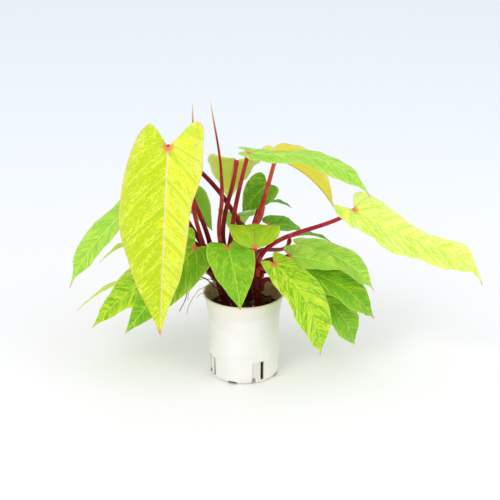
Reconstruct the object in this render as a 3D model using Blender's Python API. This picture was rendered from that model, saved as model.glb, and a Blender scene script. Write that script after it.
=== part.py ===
"""A potted philodendron: nursery pot, potting mix, short stems, petioles, heart-based blades,
new-leaf spears and aerial roots.

Metres, +Z up. The origin is the centre of the pot's flat underside. +X is to the right of someone
who looks at the plant's front, and +Y points away from them. Tables give places in millimetres and
angles in degrees.
"""
import math

import bmesh
import bpy
from mathutils import Matrix, Vector

MM = 0.001
GAP = 0.3 * MM                     # clearance between two pieces that touch

# Nursery pot
POT_HEIGHT = 113 * MM
RIM_RADIUS = 52.5 * MM
COLLAR_HEIGHT = 23 * MM            # flared band under the rim
COLLAR_RADIUS = 47.5 * MM          # where the band meets the body
COLLAR_STEP = 1.0 * MM             # ledge between the band and the body
BASE_RADIUS = 44.5 * MM
BASE_ROUND = 5 * MM                # rounded corner under the wall
POT_WALL = 1.8 * MM
POT_FLOOR = 2.2 * MM
LIP_BEAD = 1.2 * MM                # how far the rim's bead stands out
LIP_HEIGHT = 3 * MM
LIP_CHAMFER = 0.8 * MM             # outer edge of the rim
LIP_EASE = 0.5 * MM                # inner edge of the rim
BAND_TAPER = 0.2 * MM              # how far the band draws in just under the bead
POT_FACETS = 48
SLOT_COUNT = 4
SLOT_START = -65                   # azimuth of the first side slot
SLOT_PANEL = (15 * MM, 26 * MM)    # width and height of the sunk panel beside a slot
SLOT_PANEL_DEPTH = 0.8 * MM
SLOT_WIDTH = 2.5 * MM
SLOT_BOTTOM = 5 * MM
SLOT_MARGIN = 1 * MM               # plain strip of panel beside a slot
SLOT_INSET = 3 * MM                # how much shorter a slot is than its panel
NOTCH_WIDTH = 11 * MM              # drain notch in the bottom corner, midway between two side slots
NOTCH_HEIGHT = 3.5 * MM
NOTCH_DEPTH = 9 * MM

# Potting mix
MIX_CORNER = 2 * MM                # how far its flat underside stays short of the pot's inner corner
HEADSPACE = 21 * MM                # from the rim down to the mix
TABLE_MIX_TOP = 92 * MM            # height of the mix that the heights in the tables below go with

# Stems: name, foot (x, y) on the mix, head (x, y, z), radius at the foot and at the head
STEMS = (
    ("stem_left", (-24, 2), (-43, -2, 176), 5.2, 4.0),
    ("stem_centre", (-9, -12), (-22, -14, 178), 5.0, 3.8),
    ("stem_back", (6, 20), (4, 26, 192), 5.2, 4.0),
    ("stem_right", (20, -5), (11, -8, 156), 5.2, 4.2),
)
STEM_FACETS = 10

# Leaves: name, stem, how far up the stem the petiole leaves it and in which direction,
# junction of petiole and blade, blade tip, where the upper face looks (azimuth, elevation),
# full width, how far the midrib bows, fold of each half, twist from base to tip,
# and how much wider than the mean its right half is, seen from the upper face with the tip up
LEAVES = (
    ("leaf_01", "stem_back", 0.97, 185, (-89, -70, 331), (-104, -72, 84), (-92, 5), 103, 8, 6, 0, 0.12),
    ("leaf_02", "stem_left", 0.97, 165, (-112, 22, 262), (-221, -20, 125), (-155, 22), 46, 10, 8, -20, 0),
    ("leaf_03", "stem_left", 0.80, 150, (-112, 36, 216), (-186, 44, 150), (100, 62), 44, 20, 10, 0, 0),
    ("leaf_04", "stem_left", 0.66, 170, (-108, 44, 160), (-190, 54, 130), (95, 66), 40, 12, 12, 0, 0),
    ("leaf_05", "stem_left", 0.52, 160, (-112, 50, 112), (-222, 50, 62), (95, 64), 36, 12, 10, 0, 0),
    ("leaf_06", "stem_left", 0.55, 190, (-92, 6, 148), (-197, -4, 62), (-105, 50), 58, 12, 8, 0, 0),
    ("leaf_07", "stem_left", 0.76, 235, (-60, -24, 184), (-152, -34, 68), (-80, 35), 62, 12, 8, 0, 0),
    ("leaf_08", "stem_centre", 0.96, 270, (-20, -36, 190), (-4, -72, 119), (-78, 42), 60, 10, 8, 0, 0),
    ("leaf_09", "stem_right", 0.97, 290, (14, -41, 189), (13, 9, 196), (-90, 86), 64, 18, 26, 0, 0),
    ("leaf_10", "stem_right", 0.84, 315, (38, -28, 163), (97, -55, 48), (-50, 42), 60, 24, 6, 0, 0),
    ("leaf_11", "stem_right", 0.66, 10, (75, 12, 138), (171, 15, 66), (-75, 66), 56, 14, 8, 0, 0),
    ("leaf_12", "stem_right", 0.46, 15, (84, 26, 104), (147, 30, 20), (-60, 50), 54, 18, 8, 0, 0),
    ("leaf_13", "stem_right", 0.76, 45, (72, 42, 158), (171, 32, 98), (-80, 66), 42, 20, 8, 0, 0),
    ("leaf_14", "stem_right", 0.82, 5, (58, 4, 160), (135, 8, 137), (-85, 50), 34, 8, 8, 0, 0),
    ("leaf_15", "stem_right", 0.90, 80, (60, 94, 148), (120, 100, 138), (95, 62), 34, 8, 10, 0, 0),
    ("leaf_16", "stem_back", 0.76, 20, (32, 58, 181), (80, 78, 161), (-90, 68), 32, 8, 8, 0, 0),
    ("leaf_17", "stem_right", 0.98, 345, (139, 0, 225), (304, -15, 127), (-95, 68), 78, 20, 8, 0, 0),
    ("leaf_18", "stem_centre", 0.97, 50, (6, -18, 306), (157, -18, 248), (-90, 89), 54, 24, -6, 34, 0),
    ("leaf_19", "stem_back", 0.92, 5, (40, 32, 282), (117, 48, 209), (50, 35), 62, 10, 38, 0, 0),
    ("leaf_20", "stem_centre", 0.92, 110, (-9, 34, 279), (-20, 92, 200), (95, 30), 70, 14, 10, 0, 0),
    ("leaf_21", "stem_back", 0.84, 50, (30, 46, 243), (-2, 46, 204), (-90, 30), 42, 6, 8, 0, 0),
    ("leaf_22", "stem_back", 0.70, 88, (24, 88, 198), (64, 102, 188), (90, 62), 26, 6, 10, 0, 0),
    ("leaf_23", "stem_left", 0.95, 90, (-66, 16, 240), (-40, 24, 186), (100, 10), 34, 6, 10, 0, 0),
    ("leaf_24", "stem_back", 0.92, 115, (-8, 72, 190), (-14, 150, 122), (90, 48), 52, 16, 10, 0, 0),
)

# One half of a blade's outline, from the notch at the petiole round the lobe to the tip:
# along the midrib as a share of the length, and across as a share of the half width
HALF_OUTLINE = (
    (0.000, 0.00),
    (-0.050, 0.24),
    (-0.095, 0.52),
    (-0.070, 0.80),
    (0.030, 0.95),
    (0.160, 1.00),
    (0.330, 0.94),
    (0.490, 0.79),
    (0.650, 0.57),
    (0.800, 0.32),
    (0.910, 0.12),
    (1.000, 0.00),
)
MIDRIB_SHARES = (0.0, 0.012, 0.03, 0.06, 0.12, 0.22, 0.37, 0.53, 0.69, 0.82, 0.915, 1.0)

# Blades that bend otherwise: where along the midrib the bow is highest, the fold at the tip,
# and the power that makes a twist come late
SPECIAL_BENDS = {
    "leaf_02": {"peak": 0.68},
    "leaf_09": {"fold_tip": -25},
    "leaf_17": {"peak": 0.74},
    "leaf_18": {"late_twist": 3, "peak": 0.58},
}

# Halves that differ from the common outline: leaf, side (1 is the right half seen from the
# upper face with the tip up) and the outline
OWN_OUTLINES = {
    ("leaf_01", 1): (
        (0.000, 0.00), (-0.055, 0.16), (-0.100, 0.34), (-0.095, 0.46), (-0.030, 0.66), (0.110, 0.84),
        (0.300, 0.94), (0.450, 0.90), (0.620, 0.68), (0.775, 0.42), (0.900, 0.17), (1.000, 0.00),
    ),
    ("leaf_01", -1): (
        (0.000, 0.00), (-0.060, 0.30), (-0.130, 0.66), (-0.105, 0.92), (-0.020, 0.94), (0.130, 0.92),
        (0.280, 0.72), (0.480, 0.62), (0.650, 0.52), (0.790, 0.28), (0.900, 0.12), (1.000, 0.00),
    ),
    ("leaf_17", 1): (
        (0.000, 0.00), (-0.080, 0.14), (-0.140, 0.37), (-0.115, 0.62), (0.000, 0.80), (0.160, 0.93),
        (0.300, 1.06), (0.450, 1.06), (0.620, 0.90), (0.790, 0.55), (0.880, 0.13), (1.000, 0.00),
    ),
    ("leaf_17", -1): (
        (0.000, 0.00), (-0.030, 0.30), (-0.040, 0.62), (0.020, 0.86), (0.110, 0.90), (0.220, 0.74),
        (0.340, 0.54), (0.480, 0.44), (0.640, 0.48), (0.780, 0.56), (0.880, 0.22), (1.000, 0.00),
    ),
}
LATE_OUTLINE = (
    (0.000, 0.00), (-0.050, 0.22), (-0.080, 0.45), (-0.030, 0.68), (0.080, 0.78), (0.220, 0.84),
    (0.380, 0.90), (0.550, 0.98), (0.690, 0.96), (0.800, 0.66), (0.895, 0.18), (1.000, 0.00),
)
DOME_OUTLINE = (
    (0.000, 0.00), (0.000, 0.22), (0.030, 0.50), (0.080, 0.78), (0.170, 0.96), (0.300, 1.00),
    (0.450, 0.97), (0.600, 0.86), (0.740, 0.66), (0.860, 0.40), (0.950, 0.16), (1.000, 0.00),
)
MIDDLE_OUTLINE = (
    (0.000, 0.00), (-0.045, 0.20), (-0.070, 0.42), (-0.030, 0.62), (0.070, 0.78), (0.200, 0.90),
    (0.360, 0.98), (0.530, 1.00), (0.700, 0.84), (0.835, 0.50), (0.925, 0.15), (1.000, 0.00),
)
SHARED_OUTLINES = {
    "leaf_02": LATE_OUTLINE, "leaf_09": DOME_OUTLINE, "leaf_10": MIDDLE_OUTLINE,
    "leaf_11": MIDDLE_OUTLINE, "leaf_12": MIDDLE_OUTLINE, "leaf_13": LATE_OUTLINE,
    "leaf_18": LATE_OUTLINE,
}
for shared, outline in SHARED_OUTLINES.items():
    OWN_OUTLINES[shared, 1] = outline
    OWN_OUTLINES[shared, -1] = outline

BLADE_THICKNESS = 1.0 * MM
SLOPE_STEP = 0.001                 # share of the length over which the midrib's slope is taken
BLADE_ACROSS = (0.5, 1.0)          # rows of points between midrib and margin

# Petioles
PETIOLE_BASE_RADIUS = 2.5 * MM
PETIOLE_END_RADIUS = 2.0 * MM
PETIOLE_SPREAD = 22                # how far a petiole leans out where it leaves its stem
PETIOLE_REACH = 0.36               # handle length as a share of the span
PETIOLE_RISE = 0.8                 # how strongly it turns towards the blade's upper face
PETIOLE_FACETS = 6
PETIOLE_STEPS = 9
RIM_SAMPLES = (0, 0.25, 0.5, 0.75)  # where each stretch of a petiole is tested against the pot's rim

# New leaves still rolled up: name, stem, base azimuth, points up the spear, radius at the base
SPEARS = (
    ("spear_left", "stem_left", 215, ((-60, -6, 214), (-64, -4, 250), (-62, -2, 300), (-62, 0, 362)), 3.0),
    ("spear_centre", "stem_centre", 185,
     ((-31, -14, 205), (-27, -12, 245), (-29, -8, 295), (-40, -4, 366)), 2.8),
)
SPEAR_TIP_RADIUS = 0.8 * MM
SPEAR_FACETS = 8

# Aerial roots: name, stem, how far up it, azimuth, points along the root
ROOTS = (
    ("aerial_root_left", "stem_left", 0.30, 195,
     ((-52, -20, 141), (-66, -22, 134), (-74, -24, 112), (-82, -25, 96))),
    ("aerial_root_arc", "stem_left", 0.42, 225, ((-50, -14, 150), (-62, -15, 151), (-70, -14, 144))),
    ("aerial_root_back", "stem_back", 0.34, 80, ((18, 50, 142), (24, 66, 118), (27, 72, 96))),
)
ROOT_RADIUS = 0.9 * MM
ROOT_TIP_RADIUS = 0.5 * MM
ROOT_FACETS = 5

COLOURS = {
    "pot": ((0.86, 0.85, 0.80), 0.42),
    "mix": ((0.055, 0.035, 0.022), 0.95),
    "stem": ((0.20, 0.03, 0.02), 0.55),
    "petiole": ((0.36, 0.02, 0.02), 0.40),
    "spear": ((0.60, 0.12, 0.08), 0.45),
    "root": ((0.16, 0.08, 0.04), 0.85),
    "blade": ((0.42, 0.62, 0.05), 0.38),
}


def millimetres(values):
    """A place written in millimetres, as a vector in metres."""
    return Vector(values) * MM


def direction(azimuth, elevation=0.0):
    """Unit vector; azimuth 0 is +X and 90 is +Y."""
    a = math.radians(azimuth)
    e = math.radians(elevation)
    return Vector((math.cos(a) * math.cos(e), math.sin(a) * math.cos(e), math.sin(e)))


def material(name):
    """Principled material of one kind of piece, made once."""
    found = bpy.data.materials.get(name)
    if found:
        return found
    colour, roughness = COLOURS[name]
    made = bpy.data.materials.new(name)
    made.use_nodes = True
    shader = made.node_tree.nodes["Principled BSDF"]
    shader.inputs["Base Color"].default_value = (*colour, 1.0)
    shader.inputs["Roughness"].default_value = roughness
    shader.inputs["Metallic"].default_value = 0.0
    return made


def add_object(name, mesh_data, kind, smooth_angle=50):
    """Turn a bmesh into a named, smooth-shaded object."""
    bmesh.ops.recalc_face_normals(mesh_data, faces=mesh_data.faces)
    mesh = bpy.data.meshes.new(name)
    mesh_data.to_mesh(mesh)
    mesh_data.free()
    mesh.shade_smooth()
    mesh.set_sharp_from_angle(angle=math.radians(smooth_angle))
    made = bpy.data.objects.new(name, mesh)
    made.data.materials.append(material(kind))
    bpy.context.scene.collection.objects.link(made)
    return made


def turned(name, profile, kind, facets):
    """Solid of revolution about Z; the profile's two ends lie on the axis."""
    shape = bmesh.new()
    corners = [shape.verts.new((radius, 0, height)) for radius, height in profile]
    edges = [shape.edges.new(pair) for pair in zip(corners, corners[1:])]
    bmesh.ops.spin(shape, geom=corners + edges, cent=(0, 0, 0), axis=(0, 0, 1), angle=math.tau, steps=facets)
    bmesh.ops.remove_doubles(shape, verts=shape.verts, dist=0.01 * MM)
    return add_object(name, shape, kind)


def tube(name, centres, radii, kind, facets, first_way=None):
    """Closed round rod along a run of points; first_way turns its first end face."""
    shape = bmesh.new()
    rings = []
    side = Vector((0, 0, 1)).cross(centres[1] - centres[0])
    if side.length < 1e-9:
        side = Vector((1, 0, 0))
    last = len(centres) - 1
    for index, (centre, radius) in enumerate(zip(centres, radii)):
        along = (centres[min(index + 1, last)] - centres[max(index - 1, 0)]).normalized()
        if index == 0 and first_way:
            along = first_way
        side = (side - along * side.dot(along)).normalized()
        other = along.cross(side)
        ring = []
        for step in range(facets):
            turn = math.tau * step / facets
            offset = side * math.cos(turn) + other * math.sin(turn)
            ring.append(shape.verts.new(centre + offset * radius))
        rings.append(ring)
    for low, high in zip(rings, rings[1:]):
        for step in range(facets):
            after = (step + 1) % facets
            shape.faces.new((low[step], low[after], high[after], high[step]))
    shape.faces.new(reversed(rings[0]))
    shape.faces.new(rings[-1])
    return add_object(name, shape, kind)


def curve_through(points, steps):
    """Smooth run of points through the given ones (Catmull-Rom)."""
    padded = [points[0] * 2 - points[1], *points, points[-1] * 2 - points[-2]]
    run = []
    for before, start, end, after in zip(padded, padded[1:], padded[2:], padded[3:]):
        for step in range(steps):
            t = step / steps
            run.append(0.5 * (2 * start + (end - before) * t
                              + (2 * before - 5 * start + 4 * end - after) * t ** 2
                              + (3 * start - before - 3 * end + after) * t ** 3))
    run.append(points[-1].copy())
    return run


def tapered(start, end, count):
    """Evenly stepped radii."""
    return [start + (end - start) * index / (count - 1) for index in range(count)]


class Stem:
    """A short upright stem that stands on the potting mix."""

    def __init__(self, row, mix_top):
        self.name, foot, head, foot_radius, head_radius = row
        self.foot = Vector((foot[0] * MM, foot[1] * MM, mix_top + GAP))
        self.head = millimetres(head)
        self.head.z += mix_top - TABLE_MIX_TOP
        self.foot_radius = foot_radius * MM
        self.head_radius = head_radius * MM
        self.along = (self.head - self.foot).normalized()
        self.foot.z += self.foot_radius * math.sqrt(1 - self.along.z ** 2)

    def build(self):
        points = [self.foot + (self.head - self.foot) * share for share in (0, 0.25, 0.5, 0.75, 1)]
        radii = tapered(self.foot_radius, self.head_radius, len(points))
        return tube(self.name, points, radii, "stem", STEM_FACETS)

    def seat(self, share, azimuth, radius):
        """Where the centre of a round piece of this radius starts beside the stem."""
        own = self.foot_radius + (self.head_radius - self.foot_radius) * share
        out = direction(azimuth)
        out = (out - self.along * out.dot(self.along)).normalized()
        return self.foot + (self.head - self.foot) * share + out * (own + GAP + radius), out


class Blade:
    """The surface of one leaf blade: a bowed, folded heart shape hung between its junction and its tip."""

    def __init__(self, row, lift):
        self.name = row[0]
        junction, tip, face, width, bow, fold, twist, uneven = row[4:]
        self.junction = millimetres(junction) + lift
        self.tip = millimetres(tip) + lift
        self.chord = self.tip - self.junction
        along = self.chord.normalized()
        looks = direction(*face)
        self.face = (looks - along * looks.dot(along)).normalized()
        self.across = along.cross(self.face)
        self.half_width = width * MM / 2
        self.bow = bow * MM
        self.fold = math.radians(fold)
        self.twist = math.radians(twist)
        self.uneven = uneven
        special = SPECIAL_BENDS.get(self.name, {})
        self.fold_tip = math.radians(special.get("fold_tip", fold))
        self.skew = math.log(0.5) / math.log(special.get("peak", 0.5))
        self.late_twist = special.get("late_twist", 1)

    def bend(self, share):
        """How far the midrib lies over its chord."""
        warped = share if self.skew == 1 else max(share, 0) ** self.skew
        return 4 * self.bow * warped * (1 - warped)

    def midrib(self, share):
        return self.junction + self.chord * share + self.face * self.bend(share)

    def frame(self, share):
        """Along, across and upper-face directions at a share of the length."""
        slope = (self.bend(share + SLOPE_STEP) - self.bend(share - SLOPE_STEP)) / (2 * SLOPE_STEP)
        along = (self.chord + self.face * slope).normalized()
        twisted = share if self.late_twist == 1 else max(share, 0) ** self.late_twist
        turn = Matrix.Rotation(self.twist * twisted, 3, along)
        across = turn @ self.across
        return along, across, across.cross(along)

    def point(self, along_share, across_share, side, layer):
        """A point of the blade; layer is its height over the middle of the leaf's thickness."""
        _, across, normal = self.frame(along_share)
        reach = self.half_width * across_share * (1 + self.uneven * side)
        fold = self.fold + (self.fold_tip - self.fold) * min(max(along_share, 0), 1)
        out = across * (side * math.cos(fold)) + normal * math.sin(fold)
        lift = normal * math.cos(fold) - across * (side * math.sin(fold))
        if across_share == 0:
            lift = normal
        return self.midrib(along_share) + out * reach + lift * layer

    def build(self):
        shape = bmesh.new()
        layers = [self.layer_points(shape, height) for height in (BLADE_THICKNESS / 2, -BLADE_THICKNESS / 2)]
        for (ribs, sides), flip in zip(layers, (False, True)):
            for side_sign, rows in sides.items():
                for quad in blade_faces(ribs, rows):
                    turned_over = (side_sign < 0) != flip
                    shape.faces.new(list(reversed(quad)) if turned_over else quad)
        upper = margin_loop(layers[0])
        lower = margin_loop(layers[1])
        count = len(upper)
        for index in range(count):
            after = (index + 1) % count
            shape.faces.new((upper[index], upper[after], lower[after], lower[index]))
        return add_object(self.name + "_blade", shape, "blade", 70)

    def layer_points(self, shape, height):
        """Midrib points, and for each side the rows of points between midrib and margin."""
        ribs = [shape.verts.new(self.point(share, 0, 1, height)) for share in MIDRIB_SHARES]
        sides = {}
        for side in (1, -1):
            rows = []
            outline = OWN_OUTLINES.get((self.name, side), HALF_OUTLINE)
            for rib_share, (edge_along, edge_across) in zip(MIDRIB_SHARES[1:-1], outline[1:-1]):
                row = []
                for share in BLADE_ACROSS:
                    along_share = rib_share + (edge_along - rib_share) * share
                    row.append(shape.verts.new(self.point(along_share, edge_across * share, side, height)))
                rows.append(row)
            sides[side] = rows
        return ribs, sides


def blade_faces(ribs, rows):
    """Faces of one half of one layer, between the midrib and the margin."""
    faces = []
    full = [[rib, *row] for rib, row in zip(ribs[1:-1], rows)]
    for first, second in zip(full[0], full[0][1:]):
        faces.append((ribs[0], first, second))
    for low, high in zip(full, full[1:]):
        for column in range(len(low) - 1):
            faces.append((low[column], high[column], high[column + 1], low[column + 1]))
    for first, second in zip(full[-1], full[-1][1:]):
        faces.append((first, ribs[-1], second))
    return faces


def margin_loop(layer):
    """The blade's margin as one ring, from the notch round one side to the tip and back."""
    ribs, sides = layer
    right = [row[-1] for row in sides[1]]
    left = [row[-1] for row in sides[-1]]
    return [ribs[0], *right, ribs[-1], *reversed(left)]


def petiole(row, stem, blade):
    """A leaf stalk from beside its stem to just under the blade's junction."""
    _, _, share, azimuth = row[:4]
    lean = math.radians(PETIOLE_SPREAD)
    start, out = stem.seat(share, azimuth, PETIOLE_BASE_RADIUS * math.cos(lean))
    _, _, normal = blade.frame(0)
    span = (blade.junction - start).length
    start_way = stem.along * math.cos(lean) + out * math.sin(lean)
    end_way = ((blade.junction - start).normalized() + normal * PETIOLE_RISE).normalized()
    tilt = math.sqrt(max(0.0, 1 - end_way.dot(normal) ** 2))
    below = BLADE_THICKNESS / 2 + GAP + PETIOLE_END_RADIUS * tilt
    end = blade.junction - normal * below
    reach = span * PETIOLE_REACH
    first = start + start_way * reach
    second = end - end_way * reach
    centres = stalk_curve(start, first, second, end)
    radii = tapered(PETIOLE_BASE_RADIUS, PETIOLE_END_RADIUS, len(centres))
    while rim_shortfall(centres, radii) > 0:
        lift = Vector((0, 0, rim_shortfall(centres, radii) + GAP))
        first += lift
        second += lift
        centres = stalk_curve(start, first, second, end)
    return tube(row[0] + "_petiole", centres, radii, "petiole", PETIOLE_FACETS, start_way)


def stalk_curve(start, first, second, end):
    """Centres along a stalk that leaves its start towards first and reaches its end from second."""
    centres = []
    for step in range(PETIOLE_STEPS + 1):
        t = step / PETIOLE_STEPS
        keep = 1 - t
        near_stem = start * keep ** 3 + first * (3 * keep ** 2 * t)
        centres.append(near_stem + second * (3 * keep * t ** 2) + end * t ** 3)
    return centres


def rim_shortfall(centres, radii):
    """How much too low a stalk is where it passes over the pot's rim."""
    worst = 0
    rim_middle = RIM_RADIUS - (POT_WALL + LIP_BEAD) / 2
    for low, high, radius in zip(centres, centres[1:], radii):
        for share in RIM_SAMPLES:
            spot = low + (high - low) * share
            if abs(spot.xy.length - rim_middle) < (POT_WALL + LIP_BEAD) / 2 + radius:
                worst = max(worst, POT_HEIGHT + GAP + radius - spot.z)
    return worst


def spear(row, stems, lift):
    """A new leaf, still rolled into a spear."""
    name, stem_name, azimuth, places, radius = row
    start, _ = stems[stem_name].seat(0.9, azimuth, radius * MM)
    points = [start] + [millimetres(place) + lift for place in places]
    centres = curve_through(points, 3)
    return tube(name, centres, tapered(radius * MM, SPEAR_TIP_RADIUS, len(centres)), "spear", SPEAR_FACETS)


def aerial_root(row, stems, lift):
    """A thin root that leaves a stem above the potting mix."""
    name, stem_name, share, azimuth, places = row
    start, _ = stems[stem_name].seat(share, azimuth, GAP)
    points = [start] + [millimetres(place) + lift for place in places]
    centres = curve_through(points, 3)
    return tube(name, centres, tapered(ROOT_RADIUS, ROOT_TIP_RADIUS, len(centres)), "root", ROOT_FACETS)


def corner(radius_centre, height_centre, radius, start, end, steps):
    """Points of a round corner of a profile, as (radius, height)."""
    points = []
    for step in range(steps + 1):
        turn = math.radians(start + (end - start) * step / steps)
        points.append((radius_centre + radius * math.cos(turn), height_centre + radius * math.sin(turn)))
    return points


def inner_radius(height):
    """Radius of the pot's cavity at a height."""
    collar_foot = POT_HEIGHT - COLLAR_HEIGHT
    if height >= collar_foot:
        share = (height - collar_foot) / COLLAR_HEIGHT
        outer = COLLAR_RADIUS + (RIM_RADIUS - LIP_BEAD - COLLAR_RADIUS) * share
    else:
        share = height / collar_foot
        outer = BASE_RADIUS + (COLLAR_RADIUS - COLLAR_STEP - BASE_RADIUS) * share
    return outer - POT_WALL


def pot_profile():
    """Outer wall from the centre of the underside up to the rim, then the cavity back to the axis."""
    collar_foot = POT_HEIGHT - COLLAR_HEIGHT
    rim_foot = POT_HEIGHT - LIP_HEIGHT
    outer_top = RIM_RADIUS - LIP_BEAD
    profile = [(0, 0), (BASE_RADIUS * 0.5, 0)]
    profile += corner(BASE_RADIUS - BASE_ROUND, BASE_ROUND, BASE_ROUND, -90, 0, 4)
    profile += [
        (COLLAR_RADIUS - COLLAR_STEP, collar_foot),
        (COLLAR_RADIUS, collar_foot + COLLAR_STEP),
        (outer_top - BAND_TAPER, rim_foot),
        (RIM_RADIUS, rim_foot + LIP_BEAD),
        (RIM_RADIUS, POT_HEIGHT - LIP_CHAMFER),
        (RIM_RADIUS - LIP_CHAMFER, POT_HEIGHT),
        (outer_top - POT_WALL + LIP_EASE, POT_HEIGHT),
        (inner_radius(rim_foot), rim_foot),
        (inner_radius(collar_foot + COLLAR_STEP), collar_foot + COLLAR_STEP),
        (inner_radius(collar_foot - COLLAR_STEP), collar_foot - COLLAR_STEP),
        (inner_radius(POT_FLOOR + BASE_ROUND), POT_FLOOR + BASE_ROUND),
    ]
    cavity_floor = inner_radius(POT_FLOOR) - BASE_ROUND
    profile += corner(cavity_floor, POT_FLOOR + BASE_ROUND, BASE_ROUND, -30, -90, 2)
    profile.append((0, POT_FLOOR))
    return profile


def cutter_box(name, size, place, azimuth):
    """A box that cuts the pot; its own X points outward along the azimuth."""
    bpy.ops.mesh.primitive_cube_add(size=1)
    box = bpy.context.object
    box.name = name
    turn = Matrix.Rotation(math.radians(azimuth), 4, "Z")
    box.data.transform(turn @ Matrix.Translation(place) @ Matrix.Diagonal((*size, 1)))
    box.hide_render = True
    box.display_type = "WIRE"
    return box


def cut(target, cutter):
    knife = target.modifiers.new(cutter.name, "BOOLEAN")
    knife.operation = "DIFFERENCE"
    knife.solver = "EXACT"
    knife.object = cutter


def build_pot():
    pot = turned("nursery_pot", pot_profile(), "pot", POT_FACETS)
    pitch = 360 / SLOT_COUNT
    panel_width, panel_height = SLOT_PANEL
    middle = SLOT_BOTTOM + panel_height / 2
    collar_foot = POT_HEIGHT - COLLAR_HEIGHT
    wall_radius = BASE_RADIUS + (COLLAR_RADIUS - COLLAR_STEP - BASE_RADIUS) * middle / collar_foot
    panel_inside = math.sqrt(wall_radius ** 2 - (panel_width / 2) ** 2) - SLOT_PANEL_DEPTH
    slot_side = (panel_width - SLOT_WIDTH) / 2 - SLOT_MARGIN
    slot_height = panel_height - SLOT_INSET
    reach = 4 * POT_WALL
    for index in range(SLOT_COUNT):
        azimuth = SLOT_START + pitch * index
        panel = cutter_box(f"panel_cutter_{index}", (reach, panel_width, panel_height),
                           (panel_inside + reach / 2, 0, middle), azimuth)
        cut(pot, panel)
        slot = cutter_box(f"slot_cutter_{index}", (2 * reach, SLOT_WIDTH, slot_height),
                          (wall_radius, slot_side, middle), azimuth)
        cut(pot, slot)
        notch = cutter_box(f"notch_cutter_{index}", (NOTCH_DEPTH, NOTCH_WIDTH, NOTCH_HEIGHT * 2),
                           (BASE_RADIUS, 0, 0), azimuth + pitch / 2)
        cut(pot, notch)
    return pot


def build_potting_mix(mix_top):
    """The mix fills the pot from its floor up to the headspace, a clearance inside the wall."""
    foot = POT_FLOOR + GAP
    collar_foot = POT_HEIGHT - COLLAR_HEIGHT
    round_foot = foot + BASE_ROUND
    profile = [(0, foot), (inner_radius(POT_FLOOR) - BASE_ROUND - MIX_CORNER, foot)]
    profile.append((inner_radius(round_foot) - 3 * GAP, round_foot + BASE_ROUND))
    if mix_top > collar_foot:
        profile.append((inner_radius(collar_foot - COLLAR_STEP) - 2 * GAP, collar_foot - COLLAR_STEP))
    profile += [(inner_radius(mix_top) - 2 * GAP, mix_top), (0, mix_top)]
    return turned("potting_mix", profile, "mix", POT_FACETS)


def main():
    for old in list(bpy.data.objects):
        bpy.data.objects.remove(old, do_unlink=True)
    mix_top = POT_HEIGHT - HEADSPACE
    build_pot()
    build_potting_mix(mix_top)
    stems = {row[0]: Stem(row, mix_top) for row in STEMS}
    lift = Vector((0, 0, mix_top - TABLE_MIX_TOP))
    for stem in stems.values():
        stem.build()
    for row in LEAVES:
        blade = Blade(row, lift)
        blade.build()
        petiole(row, stems[row[1]], blade)
    for row in SPEARS:
        spear(row, stems, lift)
    for row in ROOTS:
        aerial_root(row, stems, lift)


main()
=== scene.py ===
import math
import random

import bmesh
import bpy
from mathutils import Matrix, Vector, noise


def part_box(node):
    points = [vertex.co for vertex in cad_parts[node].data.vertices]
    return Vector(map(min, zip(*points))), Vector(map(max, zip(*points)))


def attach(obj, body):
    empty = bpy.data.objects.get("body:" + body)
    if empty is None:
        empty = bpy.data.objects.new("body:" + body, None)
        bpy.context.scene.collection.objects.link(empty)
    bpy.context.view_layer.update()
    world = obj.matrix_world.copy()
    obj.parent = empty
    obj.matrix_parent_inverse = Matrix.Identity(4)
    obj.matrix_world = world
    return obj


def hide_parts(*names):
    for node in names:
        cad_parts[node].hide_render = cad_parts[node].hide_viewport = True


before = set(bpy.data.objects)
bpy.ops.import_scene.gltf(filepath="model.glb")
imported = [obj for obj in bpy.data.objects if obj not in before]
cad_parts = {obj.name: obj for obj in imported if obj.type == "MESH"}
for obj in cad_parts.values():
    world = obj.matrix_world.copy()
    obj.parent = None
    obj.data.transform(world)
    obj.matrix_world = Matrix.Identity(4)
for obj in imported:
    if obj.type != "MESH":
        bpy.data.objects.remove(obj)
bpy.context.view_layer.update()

MM = 0.001

# Stems: name, foot (x, y) on the mix, head (x, y, z), radius at the foot and at the head
STEMS = (
    ("stem_left", (-24, 2), (-43, -2, 176), 5.2, 4.0),
    ("stem_centre", (-9, -12), (-22, -14, 178), 5.0, 3.8),
    ("stem_back", (6, 20), (4, 26, 192), 5.2, 4.0),
    ("stem_right", (20, -5), (11, -8, 156), 5.2, 4.2),
)

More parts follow.
